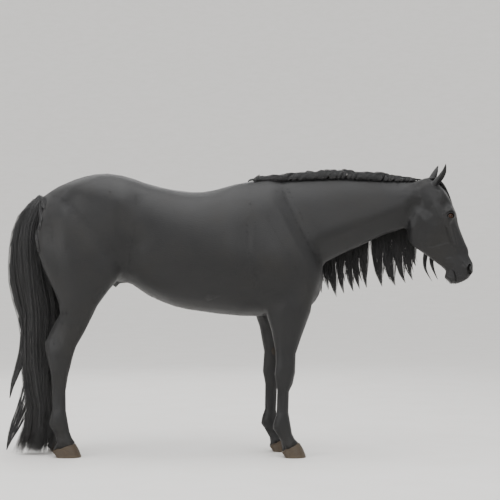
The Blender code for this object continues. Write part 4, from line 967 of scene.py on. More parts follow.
def gatherLocks(name, locks, material, flatness=0.55):
    paths, widths, facing, shades = [], [], [], []
    for lock in locks:
        made = spreadLock(**lock)
        paths.append(made[0])
        widths.append(made[1])
        facing.append(made[2])
        tone = dice.uniform(0.25, 0.75)
        shades.append(np.clip(tone + dice.normal(0, 0.18, len(made[0])), 0, 1))
    hair = makeStrands(name, np.concatenate(paths), np.concatenate(widths), np.concatenate(facing),
                       np.concatenate(shades), flatness)
    hair.data.materials.append(material)
    hair.data.calc_loop_triangles()
    print(name, len(hair.data.loop_triangles), "triangles")
    return hair


# hoof horn: brown, in fine tubes down the wall with a ring for each spell of growth, matt from dust

hornLook = {
    "dark": "#2b2217", "middle": "#3e3223", "light": "#4d3f2d", "dust": "#584b39", "roughness": 0.50,
    "tubes": (520, 520, 22), "clouds": 45.0, "ringWobble": 0.35, "ringShare": 0.05,
    "dustTop": 0.30, "dustShare": 0.45, "bump": 0.4, "bumpDepth": 0.0012,
}


def hornMaterial():
    look = hornLook
    material, surface = newMaterial("hoofHorn", IOR=1.54, Specular_IOR_Level=0.4)
    place = addNode(material, "TexCoord").outputs["Object"]
    height = addNode(material, "Attribute", attribute_name="hoofHeight").outputs["Fac"]
    tubes = addNode(material, "Mapping", {"Vector": place, "Scale": look["tubes"]}).outputs["Vector"]
    grain = addNode(material, "TexNoise", {"Vector": tubes, "Scale": 1.0, "Detail": 4.0}).outputs["Fac"]
    cloud = addNode(material, "TexNoise", {"Vector": place, "Scale": look["clouds"], "Detail": 3.0})
    wobble = addNode(material, "Math", {0: cloud.outputs["Fac"], 1: look["ringWobble"], 2: height},
                     operation="MULTIPLY_ADD").outputs[0]
    turns = addNode(material, "Math", {0: wobble, 1: 2 * math.pi * hoofShape["rings"]}, operation="MULTIPLY")
    rings = addNode(material, "Math", {0: turns.outputs[0]}, operation="SINE").outputs[0]
    mixed = addNode(material, "Math", {0: rings, 1: look["ringShare"], 2: grain},
                    operation="MULTIPLY_ADD").outputs[0]
    colour = addRamp(material, mixed, ((0.30, look["dark"]), (0.52, look["middle"]), (0.78, look["light"])))
    low = addNode(material, "MapRange", {"Value": height, "From Min": look["dustTop"], "From Max": 0.0,
                                         "To Min": 0.0, "To Max": look["dustShare"]}).outputs[0]
    dusty = addNode(material, "Mix", {0: low, 6: colour, 7: fromHex(look["dust"])}, data_type="RGBA")
    gloss = addNode(material, "MapRange", {"Value": grain, "To Min": look["roughness"] - 0.12,
                                           "To Max": look["roughness"] + 0.15})
    bump = addNode(material, "Bump", {"Height": mixed, "Strength": look["bump"],
                                      "Distance": look["bumpDepth"]})
    setLinks(material, surface, dusty.outputs[2], gloss.outputs[0], bump.outputs["Normal"])
    return material


def hoofBlank():
    # a drum of unit size: rings up its wall, a sunk sole and a domed top
    deselect()
    bpy.ops.mesh.primitive_cylinder_add(vertices=hoofShape["sides"], radius=1, depth=1, location=(0, 0, 0.5))
    drum = bpy.context.object
    bpy.ops.object.transform_apply(location=True)
    points = drum.data.vertices

    def upright(edge):
        low, high = (points[corner].co.z for corner in edge.vertices)
        return abs(low - high) > 0.5

    selectWhere(drum, "EDGE", upright)
    bpy.ops.mesh.subdivide(number_cuts=hoofShape["cuts"])
    bpy.ops.object.mode_set(mode="OBJECT")
    for way, steps in ((-1, hoofShape["soleSteps"]), (1, hoofShape["topSteps"])):
        selectWhere(drum, "FACE", lambda face: face.normal.z * way > 0.9)
        for width, lift in steps:
            bpy.ops.mesh.inset(thickness=width, depth=0)
            bpy.ops.transform.translate(value=(0, 0, lift))
        bpy.ops.mesh.poke()
        bpy.ops.object.mode_set(mode="OBJECT")
    return drum


def rounded(value, power):
    return np.sign(value) * np.abs(value) ** power


def shapeHoof(hoof, kind, lowest, highest):
    # the drum becomes a hoof: it slopes to toe and heel, with rings, bulbs, a hollow sole and a frog
    shape, size = hoofShape, hoofShape[kind]
    middleY = (lowest.y + highest.y) / 2
    toe, back = highest.x, lowest.x
    heel, front = back + size["heelBeforeBack"], toe - size["coronetBehindToe"]
    points = readPoints(hoof)
    radius = np.hypot(points[:, 0], points[:, 1])
    angle = np.arctan2(points[:, 0], points[:, 1])
    share = np.clip(points[:, 2], 0, 1)
    inner = np.clip(radius, 0, 1)
    wall = share - shape["hollow"] * np.sin(math.pi * share)
    power = np.where(points[:, 0] > 0, 2 / shape["toeRound"], 2 / shape["heelRound"])
    fore, rear = toe + (front - toe) * wall, heel + (back - heel) * wall
    width = size["halfWidth"] + (shape["topWidth"] - size["halfWidth"]) * wall
    edge = radius > shape["rimFrom"]
    ridge = shape["ringDepth"] * np.sin(2 * math.pi * shape["rings"] * share) * edge
    ridge += shape["band"] * np.exp(-((share - shape["bandPlace"]) / shape["bandWidth"]) ** 2) * edge
    ridge -= shape["bevel"] * (share < shape["bevelTop"])
    heelward = -np.sin(angle)
    besides = np.exp(-((np.abs(np.cos(angle)) - shape["bulbPlace"]) / shape["bulbWidth"]) ** 2)
    bulb = ease(heelward, *shape["bulbBack"]) * besides * ease(share, *shape["bulbRise"])
    cleft = shape["cleft"] * ease(heelward, *shape["cleftBack"])
    ridge += shape["bulb"] * (bulb - cleft) * edge * (share < 0.99)
    half = (fore - rear) / 2 + ridge
    x = (fore + rear) / 2 + half * rounded(np.sin(angle), power) * inner
    y = middleY + (width + ridge) * rounded(np.cos(angle), power) * inner
    z = share * rimLevel(x, kind, lowest, highest) + np.clip(points[:, 2] - 1, 0, 1) * shape["dome"]
    below = (points[:, 2] < 0.2) & (radius < 0.95)
    rise = shape["soleRise"] * ease(1 - radius, *shape["soleEdge"])
    wedge = shape["frogWidth"] - np.abs(y - middleY) / width - shape["frogTaper"] * (x - heel) / (toe - heel)
    frog = ease(wedge, *shape["frogEdge"]) * (x < heel + shape["frogLength"] * (toe - heel))
    z = np.where(below, rise * (1 - shape["frog"] * frog), z)
    writePoints(hoof, np.stack([np.clip(x, back, toe), y, np.maximum(z, 0.0)], axis=1))
    addAttribute(hoof, "hoofHeight", share)


def makeHooves():
    blank = hoofBlank()
    horn = hornMaterial()
    for kind in ("fore", "hind"):
        for side in ("right", "left"):
            hoof = bpy.data.objects.new(f"horn_{kind}_{side}", blank.data.copy())
            bpy.context.scene.collection.objects.link(hoof)
            shapeHoof(hoof, kind, *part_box(f"hoof_{kind}_{side}"))
            pick(hoof)
            bpy.ops.object.mode_set(mode="EDIT")
            bpy.ops.mesh.select_all(action="SELECT")
            bpy.ops.mesh.normals_make_consistent(inside=False)
            bpy.ops.object.mode_set(mode="OBJECT")
            bpy.ops.object.shade_smooth_by_angle(angle=math.radians(50))
            hoof.data.materials.append(horn)
            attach(hoof, "root")
            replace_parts(hoof, f"hoof_{kind}_{side}")
    bpy.data.objects.remove(blank)


makeHooves()
print("hooves made")


# eyes: a dark amber iris behind a clear, wet cornea, with a pupil that lies level

eyeLook = {
    "pupil": "#020202", "inner": "#3d2009", "iris": "#271405", "edge": "#080605", "white": "#120d0b",
    "rings": ((0.30, "inner"), (0.75, "iris"), (0.98, "edge"), (1.08, "white")),       # in iris sizes
    "pupilLong": 0.0082, "pupilHigh": 0.0040, "irisSize": 0.0150, "fibres": 9.0, "ragged": 0.16,
    "pupilEdge": (0.88, 1.10), "cornea": 0.0011, "corneaFrom": 0.66,
    "roughness": 0.12, "bump": 0.15, "bumpDepth": 0.0003,
}


def eyeMaterial():
    look = eyeLook
    material, surface = newMaterial("wetEye", IOR=1.38, Roughness=look["roughness"], Coat_Weight=0.42,
                                    Coat_Roughness=0.02, Coat_IOR=1.38, Specular_IOR_Level=0.15)
    along = addNode(material, "Attribute", attribute_name="lookAlong").outputs["Fac"]
    up = addNode(material, "Attribute", attribute_name="lookUp").outputs["Fac"]
    flat = addNode(material, "CombineXYZ", {"X": along, "Y": up}).outputs[0]
    spoke = addNode(material, "VectorMath", {0: flat}, operation="NORMALIZE").outputs[0]
    reach = addNode(material, "VectorMath", {0: flat}, operation="LENGTH").outputs["Value"]
    fibres = addNode(material, "TexNoise", {"Vector": spoke, "Scale": look["fibres"], "Detail": 3.0})
    fibres = fibres.outputs["Fac"]
    ragged = addNode(material, "Math", {0: fibres, 1: look["ragged"], 2: reach}, operation="MULTIPLY_ADD")
    size = look["irisSize"] / eyeRadius
    iris = addRamp(material, ragged.outputs[0],
                   [(place * size + look["ragged"] / 2, look[name]) for place, name in look["rings"]])
    scale = (eyeRadius / look["pupilLong"], eyeRadius / look["pupilHigh"], 1)
    level = addNode(material, "Mapping", {"Vector": flat, "Scale": scale}).outputs[0]
    pupil = addNode(material, "VectorMath", {0: level}, operation="LENGTH").outputs["Value"]
    black, clear = look["pupilEdge"]
    soft = addNode(material, "MapRange", {"Value": pupil, "From Min": black, "From Max": clear}).outputs[0]
    colour = addNode(material, "Mix", {0: soft, 6: fromHex(look["pupil"]), 7: iris}, data_type="RGBA")
    bump = addNode(material, "Bump", {"Height": fibres, "Strength": look["bump"],
                                      "Distance": look["bumpDepth"]})
    setLinks(material, surface, colour.outputs[2], None, bump.outputs["Normal"])
    return material


def makeEyes():
    wet = eyeMaterial()
    for side, spot in eyeSpot.items():
        out, along, up = eyeAxes(side)
        deselect()
        bpy.ops.mesh.primitive_uv_sphere_add(segments=72, ring_count=48, radius=eyeRadius, location=spot,
                                             rotation=out.to_track_quat("Z", "Y").to_euler())
        eye = bpy.context.object
        eye.name = "eyeball_" + side
        bpy.ops.object.transform_apply(location=True, rotation=True)
        offset = readPoints(eye) - np.array(spot)
        a, b, depth = (offset @ np.array(axis) for axis in (along, up, out))
        bulge = eyeLook["cornea"] * ease(depth, eyeLook["corneaFrom"] * eyeRadius, eyeRadius)
        writePoints(eye, np.array(spot) + offset + bulge[:, None] * np.array(out))
        addAttribute(eye, "lookAlong", a / eyeRadius)
        addAttribute(eye, "lookUp", b / eyeRadius)
        bpy.ops.object.shade_smooth()
        eye.data.materials.append(wet)
        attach(eye, "root")
        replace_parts(eye, "eye_" + side)


makeEyes()
print("eyes made")


# mane: locks from the crest down the left side, and short ones in a roll over the crest

maneShape = {
    "from": 0.085, "to": 1.004, "steps": 14, "start": 0.012, "lift": 0.050, "flick": 0.038, "sway": 0.012,
    "stray": 0.016, "taper": ((0, 0.12, 0.60, 0.82, 0.93, 1), (0.7, 1, 1.0, 0.88, 0.50, 0.08)),
    "rollLocks": 66, "rollStrands": 38, "rollHalfWidth": 0.0170,
    "rollSlant": 0.032, "rollTaper": ((0, 0.3, 0.7, 1), (0.40, 1, 0.9, 0.2)),
    "overCrest": (  # the first points of a hanging lock: along, sideways, up, and share of the lift
        (-0.006, -0.010, -0.004, 0.0), (0.0, -0.002, 0.0, 0.35),
        (0.002, 0.014, 0.0, 0.40), (0.004, 0.028, 0.0, 0.25)),
    "rollWay": (  # the way of a lock in the roll: share of the slant, and the same three
        (-1.0, -0.024, -0.006, 0.0), (-0.7, -0.027, 0.0, 0.40), (-0.1, -0.010, 0.0, 0.92),
        (0.5, 0.020, 0.0, 0.90), (1.0, 0.044, 0.0, 0.35), (1.2, 0.058, -0.030, 0.0)),
    "layers": (  # from the neck outwards: clearance, strands, half width, how much shorter, thickness
        (0.005, 66, 0.044, 0.06, 0.22), (0.013, 72, 0.031, 0.0, 0.42),
        (0.021, 26, 0.011, 0.05, 0.7), (0.018, 26, 0.010, 0.09, 0.7)),
    "locks": (  # where each lock leaves the crest, where its tip is, its size
        (0.106, 0.082, 1.325, 0.75), (0.150, 0.126, 1.250, 0.85), (0.196, 0.172, 1.175, 0.9),
        (0.240, 0.220, 1.105, 1.0), (0.286, 0.270, 1.050, 1.0), (0.332, 0.322, 1.000, 1.0),
        (0.378, 0.374, 0.958, 1.0), (0.424, 0.424, 0.930, 1.0), (0.468, 0.474, 0.908, 0.95),
        (0.508, 0.514, 0.925, 0.85), (0.548, 0.556, 0.885, 1.0), (0.588, 0.598, 0.904, 0.9),
        (0.626, 0.650, 0.917, 0.95), (0.660, 0.690, 0.930, 0.75), (0.694, 0.730, 0.938, 0.95),
        (0.766, 0.818, 0.945, 1.2), (0.822, 0.890, 0.950, 1.15), (0.884, 0.948, 0.965, 0.95),
        (0.926, 0.988, 0.982, 0.95), (0.976, 1.010, 1.060, 0.7)),
}


def crestHeight(x):
    return skinHit(x, 0.0, 2.0, (0, 0, -1))[0].z


def liftAt(x):
    t = (x - maneShape["from"] + 0.02) / (maneShape["to"] - maneShape["from"] + 0.04)
    return maneShape["lift"] * math.sin(math.pi * min(1, max(0, t))) ** 0.6


def maneGuide(rootX, tipX, tipZ, clearance, sway, flick):
    # over the crest and down the neck: no point lies further in than the one above it
    top, lift = crestHeight(rootX), liftAt(rootX)
    points = [(rootX + along, aside, top + up + share * lift)
              for along, aside, up, share in maneShape["overCrest"]]
    outside = 0.03
    for share in np.linspace(0.04, 1, 24):
        late = max(0.0, share - 0.55) / 0.45
        x = rootX + (tipX - rootX) * share
        x -= sway * math.sin(math.pi * late)
        x -= 0.5 * sway * math.sin(2.2 * math.pi * share)
        x += flick * (late ** 3 - 0.8 * late)
        z = top - maneShape["start"] + (tipZ - top + maneShape["start"]) * share
        hit, normal = skinHit(x, 1.0, z, (0, -1, 0))[:2]
        if hit and hit.y > outside - clearance:
            spot = hit + normal * clearance
            outside = max(outside, spot.y)
        points.append((x, outside + 0.4 * sway * math.sin(5 * share), z))
    points = np.array(points)
    length = np.concatenate([[0], np.cumsum(np.linalg.norm(np.diff(points, axis=0), axis=1))])
    even = np.linspace(0, length[-1], maneShape["steps"])
    return np.stack([np.interp(even, length, points[:, k]) for k in range(3)], axis=1)


def hangingLocks():
    # the locks down the neck: those of the layer on the skin, and those over it
    under, over = [], []
    for rootX, tipX, tipZ, size in maneShape["locks"]:
        for layer, (clearance, strands, halfWidth, short, thickness) in enumerate(maneShape["layers"]):
            startX = rootX + (dice.normal(0, maneShape["stray"]) if layer > 1 else 0.0)
            length = crestHeight(rootX) - tipZ
            shorter = short * length * dice.uniform(0.5, 1.5)
            lean = (tipX - rootX) * (1 - shorter / length)
            sway = maneShape["sway"] * dice.uniform(0.4, 1.3) * (1 if layer else 0.3)
            flick = maneShape["flick"] * dice.uniform(0.5, 1.2) * (1 if layer else 0.2)
            guide = maneGuide(startX, startX + lean, tipZ + shorter, clearance, sway, flick)
            taper = np.interp(np.linspace(0, 1, len(guide)), *maneShape["taper"])
            lock = dict(guide=guide, facing=np.array((0.0, 1.0, 0.12)), halfWidths=halfWidth * size * taper,
                        strands=max(8, int(strands * size * (1.0))),
                        thickness=thickness, tipShare=0.8, ragged=0.08 if layer else 0.20)
            (over if layer else under).append(lock)
    return under, over


def rollLocks():
    # short locks turned over the crest from the right side to the left
    roll = []
    fine = np.linspace(0, 1, 10)
    reach, count = maneShape["to"] - maneShape["from"], maneShape["rollLocks"]
    for k in range(count):
        x = maneShape["from"] + reach * (k + dice.uniform(0.1, 0.9)) / count
        top, lift = crestHeight(x), liftAt(x) * dice.uniform(0.66, 1.0)
        slant = maneShape["rollSlant"] + dice.uniform(-0.01, 0.016)
        knots = np.array([(x + along * slant, aside, top + up + share * lift)
                          for along, aside, up, share in maneShape["rollWay"]])
        length = np.linspace(0, 1, len(knots))
        guide = np.stack([np.interp(fine, length, knots[:, j]) for j in range(3)], axis=1)
        taper = np.interp(fine, *maneShape["rollTaper"])
        widths = maneShape["rollHalfWidth"] * taper * dice.uniform(0.7, 1.15)
        widths *= 0.35 + 0.65 * min(1.0, liftAt(x) / (0.7 * maneShape["lift"]))
        roll.append(dict(guide=guide, facing=np.array((0.0, -0.6, 0.8)), halfWidths=widths,
                         strands=maneShape["rollStrands"], thickness=0.60, tipShare=0.5, ragged=0.12))
    return roll


def makeMane():
    under, over = hangingLocks()
    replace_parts(gatherLocks("maneUnder", under, longHair), "mane")
    gatherLocks("maneOver", over, longHair)
    gatherLocks("maneRoll", rollLocks(), longHair)


makeMane()


# forelock: three locks between the ears, one down the forehead and two down the left cheek

forelockShape = {
    "strands": 180, "steps": 20, "middle": (1.06, 0.0, 1.30),     # locks face away from it
    "locks": (
        (((1.036, 0.002, 1.528), (1.090, 0.010, 1.562), (1.144, 0.018, 1.536),
          (1.182, 0.024, 1.474), (1.210, 0.028, 1.408), (1.226, 0.026, 1.350)),
         (0.010, 0.020, 0.024, 0.022, 0.013, 0.003)),
        (((1.046, 0.010, 1.530), (1.104, 0.040, 1.556), (1.142, 0.084, 1.508), (1.150, 0.108, 1.420),
          (1.142, 0.120, 1.320), (1.122, 0.122, 1.220), (1.104, 0.116, 1.120), (1.108, 0.108, 1.060),
          (1.138, 0.102, 0.986)),
         (0.010, 0.018, 0.022, 0.022, 0.022, 0.020, 0.016, 0.011, 0.003)),
        (((1.040, 0.012, 1.528), (1.090, 0.046, 1.546), (1.116, 0.092, 1.486), (1.116, 0.116, 1.390),
          (1.102, 0.126, 1.290), (1.082, 0.126, 1.190), (1.066, 0.118, 1.100), (1.070, 0.110, 1.040),
          (1.106, 0.104, 0.976)),
         (0.010, 0.017, 0.020, 0.020, 0.020, 0.018, 0.015, 0.010, 0.003)),
    ),
}


def smoothGuide(knots, steps):
    knots = np.array(knots, float)
    slopes = np.gradient(knots, axis=0)
    made = []
    for t in np.linspace(0, len(knots) - 1, steps):
        k = min(int(t), len(knots) - 2)
        t -= k
        made.append((2 * t**3 - 3 * t**2 + 1) * knots[k] + (t**3 - 2 * t**2 + t) * slopes[k]
                    + (3 * t**2 - 2 * t**3) * knots[k + 1] + (t**3 - t**2) * slopes[k + 1])
    return np.array(made)


def makeForelock():
    locks = []
    steps = forelockShape["steps"]
    for knots, sizes in forelockShape["locks"]:
        guide = smoothGuide(knots, steps)
        sizes = np.interp(np.linspace(0, 1, steps), np.linspace(0, 1, len(sizes)), sizes)
        facing = guide - np.array(forelockShape["middle"])
        facing /= np.linalg.norm(facing, axis=1, keepdims=True)
        locks.append(dict(guide=guide, facing=facing, halfWidths=sizes, strands=forelockShape["strands"],
                          thickness=0.42, tipShare=0.5, ragged=0.10))
    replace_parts(gatherLocks("forelockHair", locks, longHair), "forelock")


makeForelock()


# tail: locks from the dock that fill its outline, longest in the middle

tailShape = {
    "locks": 78, "strands": 40, "steps": 15, "halfWidth": 0.020,
    "turn": 2.39996,                           # from one lock to the next, in radians: the golden angle
    "dock": 1.462, "dockDrop": 0.05, "dockSlope": 0.06,        # where the locks start
    "lowest": (0.008, 0.018), "shortEnds": (0.08, 0.50), "shortShare": 0.35,   # and where they end
    "shortFrom": 0.80, "innerTo": 0.70, "filled": 0.93,        # in shares of the outline
    "fall": 1.12, "wave": 0.010,
    "taper": ((0, 0.06, 0.88, 0.97, 1), (0.7, 1, 1, 0.9, 0.55)),
    "outline": (  # height, outer x, inner x, half thickness
        (1.470, -1.120, -1.098, 0.016), (1.440, -1.164, -1.086, 0.034), (1.400, -1.204, -1.080, 0.048),
        (1.342, -1.250, -1.082, 0.074), (1.290, -1.276, -1.082, 0.084),
        (1.217, -1.296, -1.080, 0.094), (1.100, -1.304, -1.060, 0.102), (0.993, -1.305, -1.030, 0.102),
        (0.861, -1.282, -1.008, 0.098), (0.760, -1.255, -1.016, 0.092), (0.589, -1.240, -1.046, 0.084),
        (0.436, -1.238, -1.056, 0.075), (0.320, -1.212, -1.048, 0.073), (0.225, -1.194, -1.038, 0.073),
        (0.130, -1.224, -1.026, 0.080), (0.060, -1.260, -1.018, 0.080), (0.010, -1.284, -1.030, 0.074)),
    "sideLocks": (  # the way of each, and its half width there
        (((-1.150, 0.010, 0.620), (-1.170, 0.010, 0.480), (-1.195, 0.012, 0.370), (-1.222, 0.012, 0.270),
          (-1.274, 0.012, 0.150), (-1.301, 0.012, 0.080), (-1.318, 0.010, 0.020)),
         (0.020, 0.034, 0.040, 0.040, 0.032, 0.016, 0.003)),
        (((-1.185, -0.030, 0.860), (-1.198, -0.034, 0.740), (-1.208, -0.036, 0.640), (-1.222, -0.036, 0.560),
          (-1.254, -0.036, 0.462), (-1.277, -0.036, 0.400), (-1.293, -0.036, 0.318)),
         (0.020, 0.030, 0.032, 0.030, 0.019, 0.013, 0.003)),
        (((-1.130, 0.030, 1.020), (-1.090, 0.050, 0.800), (-1.085, 0.056, 0.560), (-1.080, 0.056, 0.330),
          (-1.072, 0.048, 0.120), (-1.060, 0.038, 0.028)),
         (0.020, 0.026, 0.026, 0.024, 0.016, 0.005))),
    # hair that spreads over the buttocks: first and last lock, start x, start z, tip x, tip z
    "overThigh": ((-1.106, 1.454, -1.090, 1.378), (-1.156, 1.396, -1.106, 1.060)), "overLocks": 8,
    "overHalfWidth": 0.018, "overTaper": ((0, 0.15, 0.6, 1), (0.6, 1, 0.9, 0.06)), "overClearance": 0.008,
    "overTurn": 0.25, "overAside": (0.020, 0.06), "overStray": (0.006, 0.03),
}


def thighLock(startX, startZ, tipX, tipZ, side):
    # leaves the dock, lies on the buttock and ends in a point turned forwards
    guide = []
    turn, (least, more) = tailShape["overTurn"], tailShape["overAside"]
    for share in np.linspace(0, 1, tailShape["steps"]):
        x = startX + (tipX - startX) * ((1 - turn) * share + turn * share ** 4)
        z = startZ + (tipZ - startZ) * share
        hit = skinHit(x, side, z, (0, -side, 0))[0]
        away = side * hit.y + tailShape["overClearance"] if hit else 0.0
        guide.append((x, side * max(away, least + more * share), z))
    guide = np.array(guide)
    guide[1:-1] = (guide[:-2] + 2 * guide[1:-1] + guide[2:]) / 4
    widths = tailShape["overHalfWidth"] * np.interp(np.linspace(0, 1, len(guide)), *tailShape["overTaper"])
    return dict(guide=guide, facing=np.array((-0.3, side, 0.0)), halfWidths=widths,
                strands=tailShape["strands"] * 2 // 3, thickness=0.5, tipShare=0.8, ragged=0.12)


def dockLock(k, outline):
    # one lock of the tail's bulk, with its distance from the tail's middle
    count, steps = tailShape["locks"], tailShape["steps"]
    share = np.linspace(0, 1, steps)
    angle = k * tailShape["turn"]
    radius = math.sqrt((k + 0.5) / count)
    s, t = radius * math.cos(angle), radius * math.sin(angle)
    drop = tailShape["dockDrop"] * radius * dice.uniform(0.0, 1.0)
    rootZ = tailShape["dock"] - drop - max(0.0, s) * tailShape["dockSlope"]
    least, more = tailShape["lowest"]
    low = least + more * dice.uniform(0, 1) ** 2
    if radius > tailShape["shortFrom"] and dice.uniform() < tailShape["shortShare"]:
        low = dice.uniform(*tailShape["shortEnds"])
    heights = rootZ + (low - rootZ) * share ** tailShape["fall"]
    outer, inner, thick = [np.interp(heights, outline[:, 0], outline[:, j]) for j in (1, 2, 3)]
    x = (outer + inner) / 2 + s * tailShape["filled"] * (inner - outer) / 2
    y = t * tailShape["filled"] * thick
    wave = tailShape["wave"] * np.sin(9 * share + 5 * s + dice.normal(0, 0.6)) * ease(share, 0.1, 0.5)
    guide = np.stack([x + wave, y + 0.5 * wave, heights], axis=1)
    facing = np.stack([np.full(steps, s), np.full(steps, t + 1e-3), np.full(steps, 0.1)], axis=1)
    facing /= np.linalg.norm(facing, axis=1, keepdims=True)
    size = tailShape["halfWidth"] * dice.uniform(0.8, 1.25)
    return radius, dict(guide=guide, facing=facing, halfWidths=size * np.interp(share, *tailShape["taper"]),
                        strands=tailShape["strands"], thickness=0.6, tipShare=0.8, ragged=0.03)


def makeTail():
    outline = np.array(tailShape["outline"])[::-1]
    inside, outside = [], []
    for k in range(tailShape["locks"]):
        radius, lock = dockLock(k, outline)
        (inside if radius < tailShape["innerTo"] else outside).append(lock)
    for knots, sizes in tailShape["sideLocks"]:
        guide = smoothGuide(knots, tailShape["steps"])
        widths = np.interp(np.linspace(0, 1, len(guide)), np.linspace(0, 1, len(sizes)), sizes)
        outside.append(dict(guide=guide, facing=np.array((0.0, -1.0, 0.1)), halfWidths=widths,
                            strands=2 * tailShape["strands"], thickness=0.6, tipShare=0.8))
    first, last = (np.array(ends) for ends in tailShape["overThigh"])
    strayAlong, strayUp = tailShape["overStray"]
    for share in np.linspace(0, 1, tailShape["overLocks"]):
        startX, startZ, tipX, tipZ = first + (last - first) * share
        for side in (-1, 1):
            strayX, strayZ = dice.normal(0, strayAlong), dice.normal(0, strayUp)
            outside.append(thighLock(startX, startZ, tipX + strayX, tipZ + strayZ, side))
    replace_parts(gatherLocks("tailInner", inside, longHair), "tail")
    gatherLocks("tailOuter", outside, longHair)


makeTail()


# short tufts over the coat: they lie flat along it and stand out only at edges

tuftShape = {
    "body": 42000, "length": 0.020, "halfWidth": 0.0020, "rise": 0.04,
    "flatness": 0.09, "sunk": 0.0006, "spread": 0.22, "taper": ((0, 0.45, 1), (1.0, 0.9, 0.06)),
    "headMore": 0.8, "feetMore": 1.0, "feet": (0.10, 0.45),        # how much denser, and where
    "offEyes": (0.026, 0.034), "offLips": (0.010, 0.016), "offMuzzle": (0.53, 0.58), "bareShare": 0.98,
    "smaller": 0.55, "smallBelow": (0.15, 0.70),                   # on the head and towards the feet
}
coatLie = {  # which way the coat lies, and from where to where it turns that way
    "body": (-1.0, 0.0, -0.45), "legs": (-0.12, 0.0, -1.0), "ears": (0.4, 0.0, 0.9),
    "legHeights": (0.80, 1.15), "headStarts": (0.98, 1.06), "earHeights": (1.535, 1.560),
    "earStarts": (1.05, 1.07),
}


def lieOf(points):
    # back and down on the body, down on the legs and the face, up on the ears
    body, onLegs, upEars = (np.array(coatLie[part]) for part in ("body", "legs", "ears"))
    legs = 1 - ease(points[:, 2], *coatLie["legHeights"])
    head = ease(points[:, 0], *coatLie["headStarts"])
    ears = ease(points[:, 2], *coatLie["earHeights"]) * ease(points[:, 0], *coatLie["earStarts"])
    lie = body + (onLegs - body) * legs[:, None]
    lie = lie + (np.array(headDown) - lie) * head[:, None]
    return lie + (upEars - lie) * ears[:, None]


def scatter(count, weight):
    mesh = skin.data
    mesh.calc_loop_triangles()
    corners = np.empty(len(mesh.loop_triangles) * 3, np.int32)
    mesh.loop_triangles.foreach_get("vertices", corners)
    corners = corners.reshape(-1, 3)
    points, normals = readPoints(skin), readPoints(skin, "normal")
    a, b, c = (points[corners[:, k]] for k in range(3))
    area = np.linalg.norm(np.cross(b - a, c - a), axis=1) / 2
    chance = area * weight(points)[corners].mean(axis=1)
    chosen = dice.choice(len(corners), count, p=chance / chance.sum())
    u, v = dice.uniform(size=(2, count))
    flip = u + v > 1
    u, v = np.where(flip, 1 - u, u), np.where(flip, 1 - v, v)
    mix = np.stack([1 - u - v, u, v], axis=1)[:, :, None]
    spots = (points[corners[chosen]] * mix).sum(axis=1)
    facing = (normals[corners[chosen]] * mix).sum(axis=1)
    facing /= np.linalg.norm(facing, axis=1, keepdims=True)
    return spots, facing


def layTufts(spots, facing, length, halfWidth, rise, lie=None, bend=0.0, steps=2, hug=True):
    lie = lieOf(spots) if lie is None else lie
    lie = lie + dice.normal(0, tuftShape["spread"], lie.shape)
    lie -= facing * (lie * facing).sum(axis=1, keepdims=True)
    lie /= np.linalg.norm(lie, axis=1, keepdims=True)
    lengths = (length * dice.uniform(0.7, 1.25, len(spots)))[:, None, None]
    t = np.linspace(0, 1, steps)[None, :, None]
    rises = lengths * (rise * t - bend * t ** 2)
    paths = (spots - facing * tuftShape["sunk"])[:, None, :] + lie[:, None, :] * lengths * t \
        + facing[:, None, :] * lengths * (rise * t - bend * t ** 2)
    if hug:
        # each point stands above the skin right below it, by as much as it stood off the root's level
        for k in range(1, steps):
            for j, point in enumerate(paths[:, k]):
                spot, normal = skinTree.find_nearest(point)[:2]
                paths[j, k] = spot + normal * (rises[j, k, 0] - tuftShape["sunk"])
    taper = np.interp(np.linspace(0, 1, steps), *tuftShape["taper"])
    widths = (halfWidth * dice.uniform(0.7, 1.3, len(spots)))[:, None] * taper[None, :]
    return paths, widths, np.repeat(facing[:, None, :], steps, axis=1)


def addCoat(name, paths, widths, out, roots, flatness):
    hair = makeStrands(name, paths, widths, out, dice.uniform(0.2, 0.9, len(paths)), flatness, roots)
    shadeLike(hair, out[:, 0])
    hair.data.materials.append(skin.data.materials[0])
    hair.data.calc_loop_triangles()
    print(name, len(hair.data.loop_triangles), "triangles")


def allOver(points):
    # denser on the head and the feet; none on the lids and lips, hardly any on the bare muzzle
    shape = tuftShape
    head = ease(points[:, 0], *coatLie["headStarts"])
    feet = 1 - ease(points[:, 2], *shape["feet"])
    dense = 1 + shape["headMore"] * head + shape["feetMore"] * feet
    bare = shape["bareShare"] * ease(inHead(points)[:, 0], *shape["offMuzzle"])
    return dense * ease(eyeDistance(points), *shape["offEyes"]) * (1 - bare) \
        * ease(lipDistance(points), *shape["offLips"])


def makeTufts():
    spots, facing = scatter(tuftShape["body"], allOver)
    head = ease(spots[:, 0], *coatLie["headStarts"])
    small = 1 - tuftShape["smaller"] * np.maximum(head, 1 - ease(spots[:, 2], *tuftShape["smallBelow"]))
    paths, widths, out = layTufts(spots, facing, tuftShape["length"] * small,
                                  tuftShape["halfWidth"] * small, tuftShape["rise"])
    half = len(paths) // 2
    for name, part in (("coatTuftsA", slice(0, half)), ("coatTuftsB", slice(half, None))):
        addCoat(name, paths[part], widths[part], out[part], spots[part], tuftShape["flatness"])


# longer coat at the ears, fetlocks, coronets, tendons, belly, jaw and rump: a weight by place for each

def onEars(points):
    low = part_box("ear_left")[0]
    above = (points[:, 2] > low.z + 0.022) & (points[:, 0] > low.x)
    return (above & (np.abs(points[:, 1]) > 0.020)).astype(float)


def onFetlocks(points):
    return ease(points[:, 2], 0.10, 0.14) * (1 - ease(points[:, 2], 0.20, 0.24))


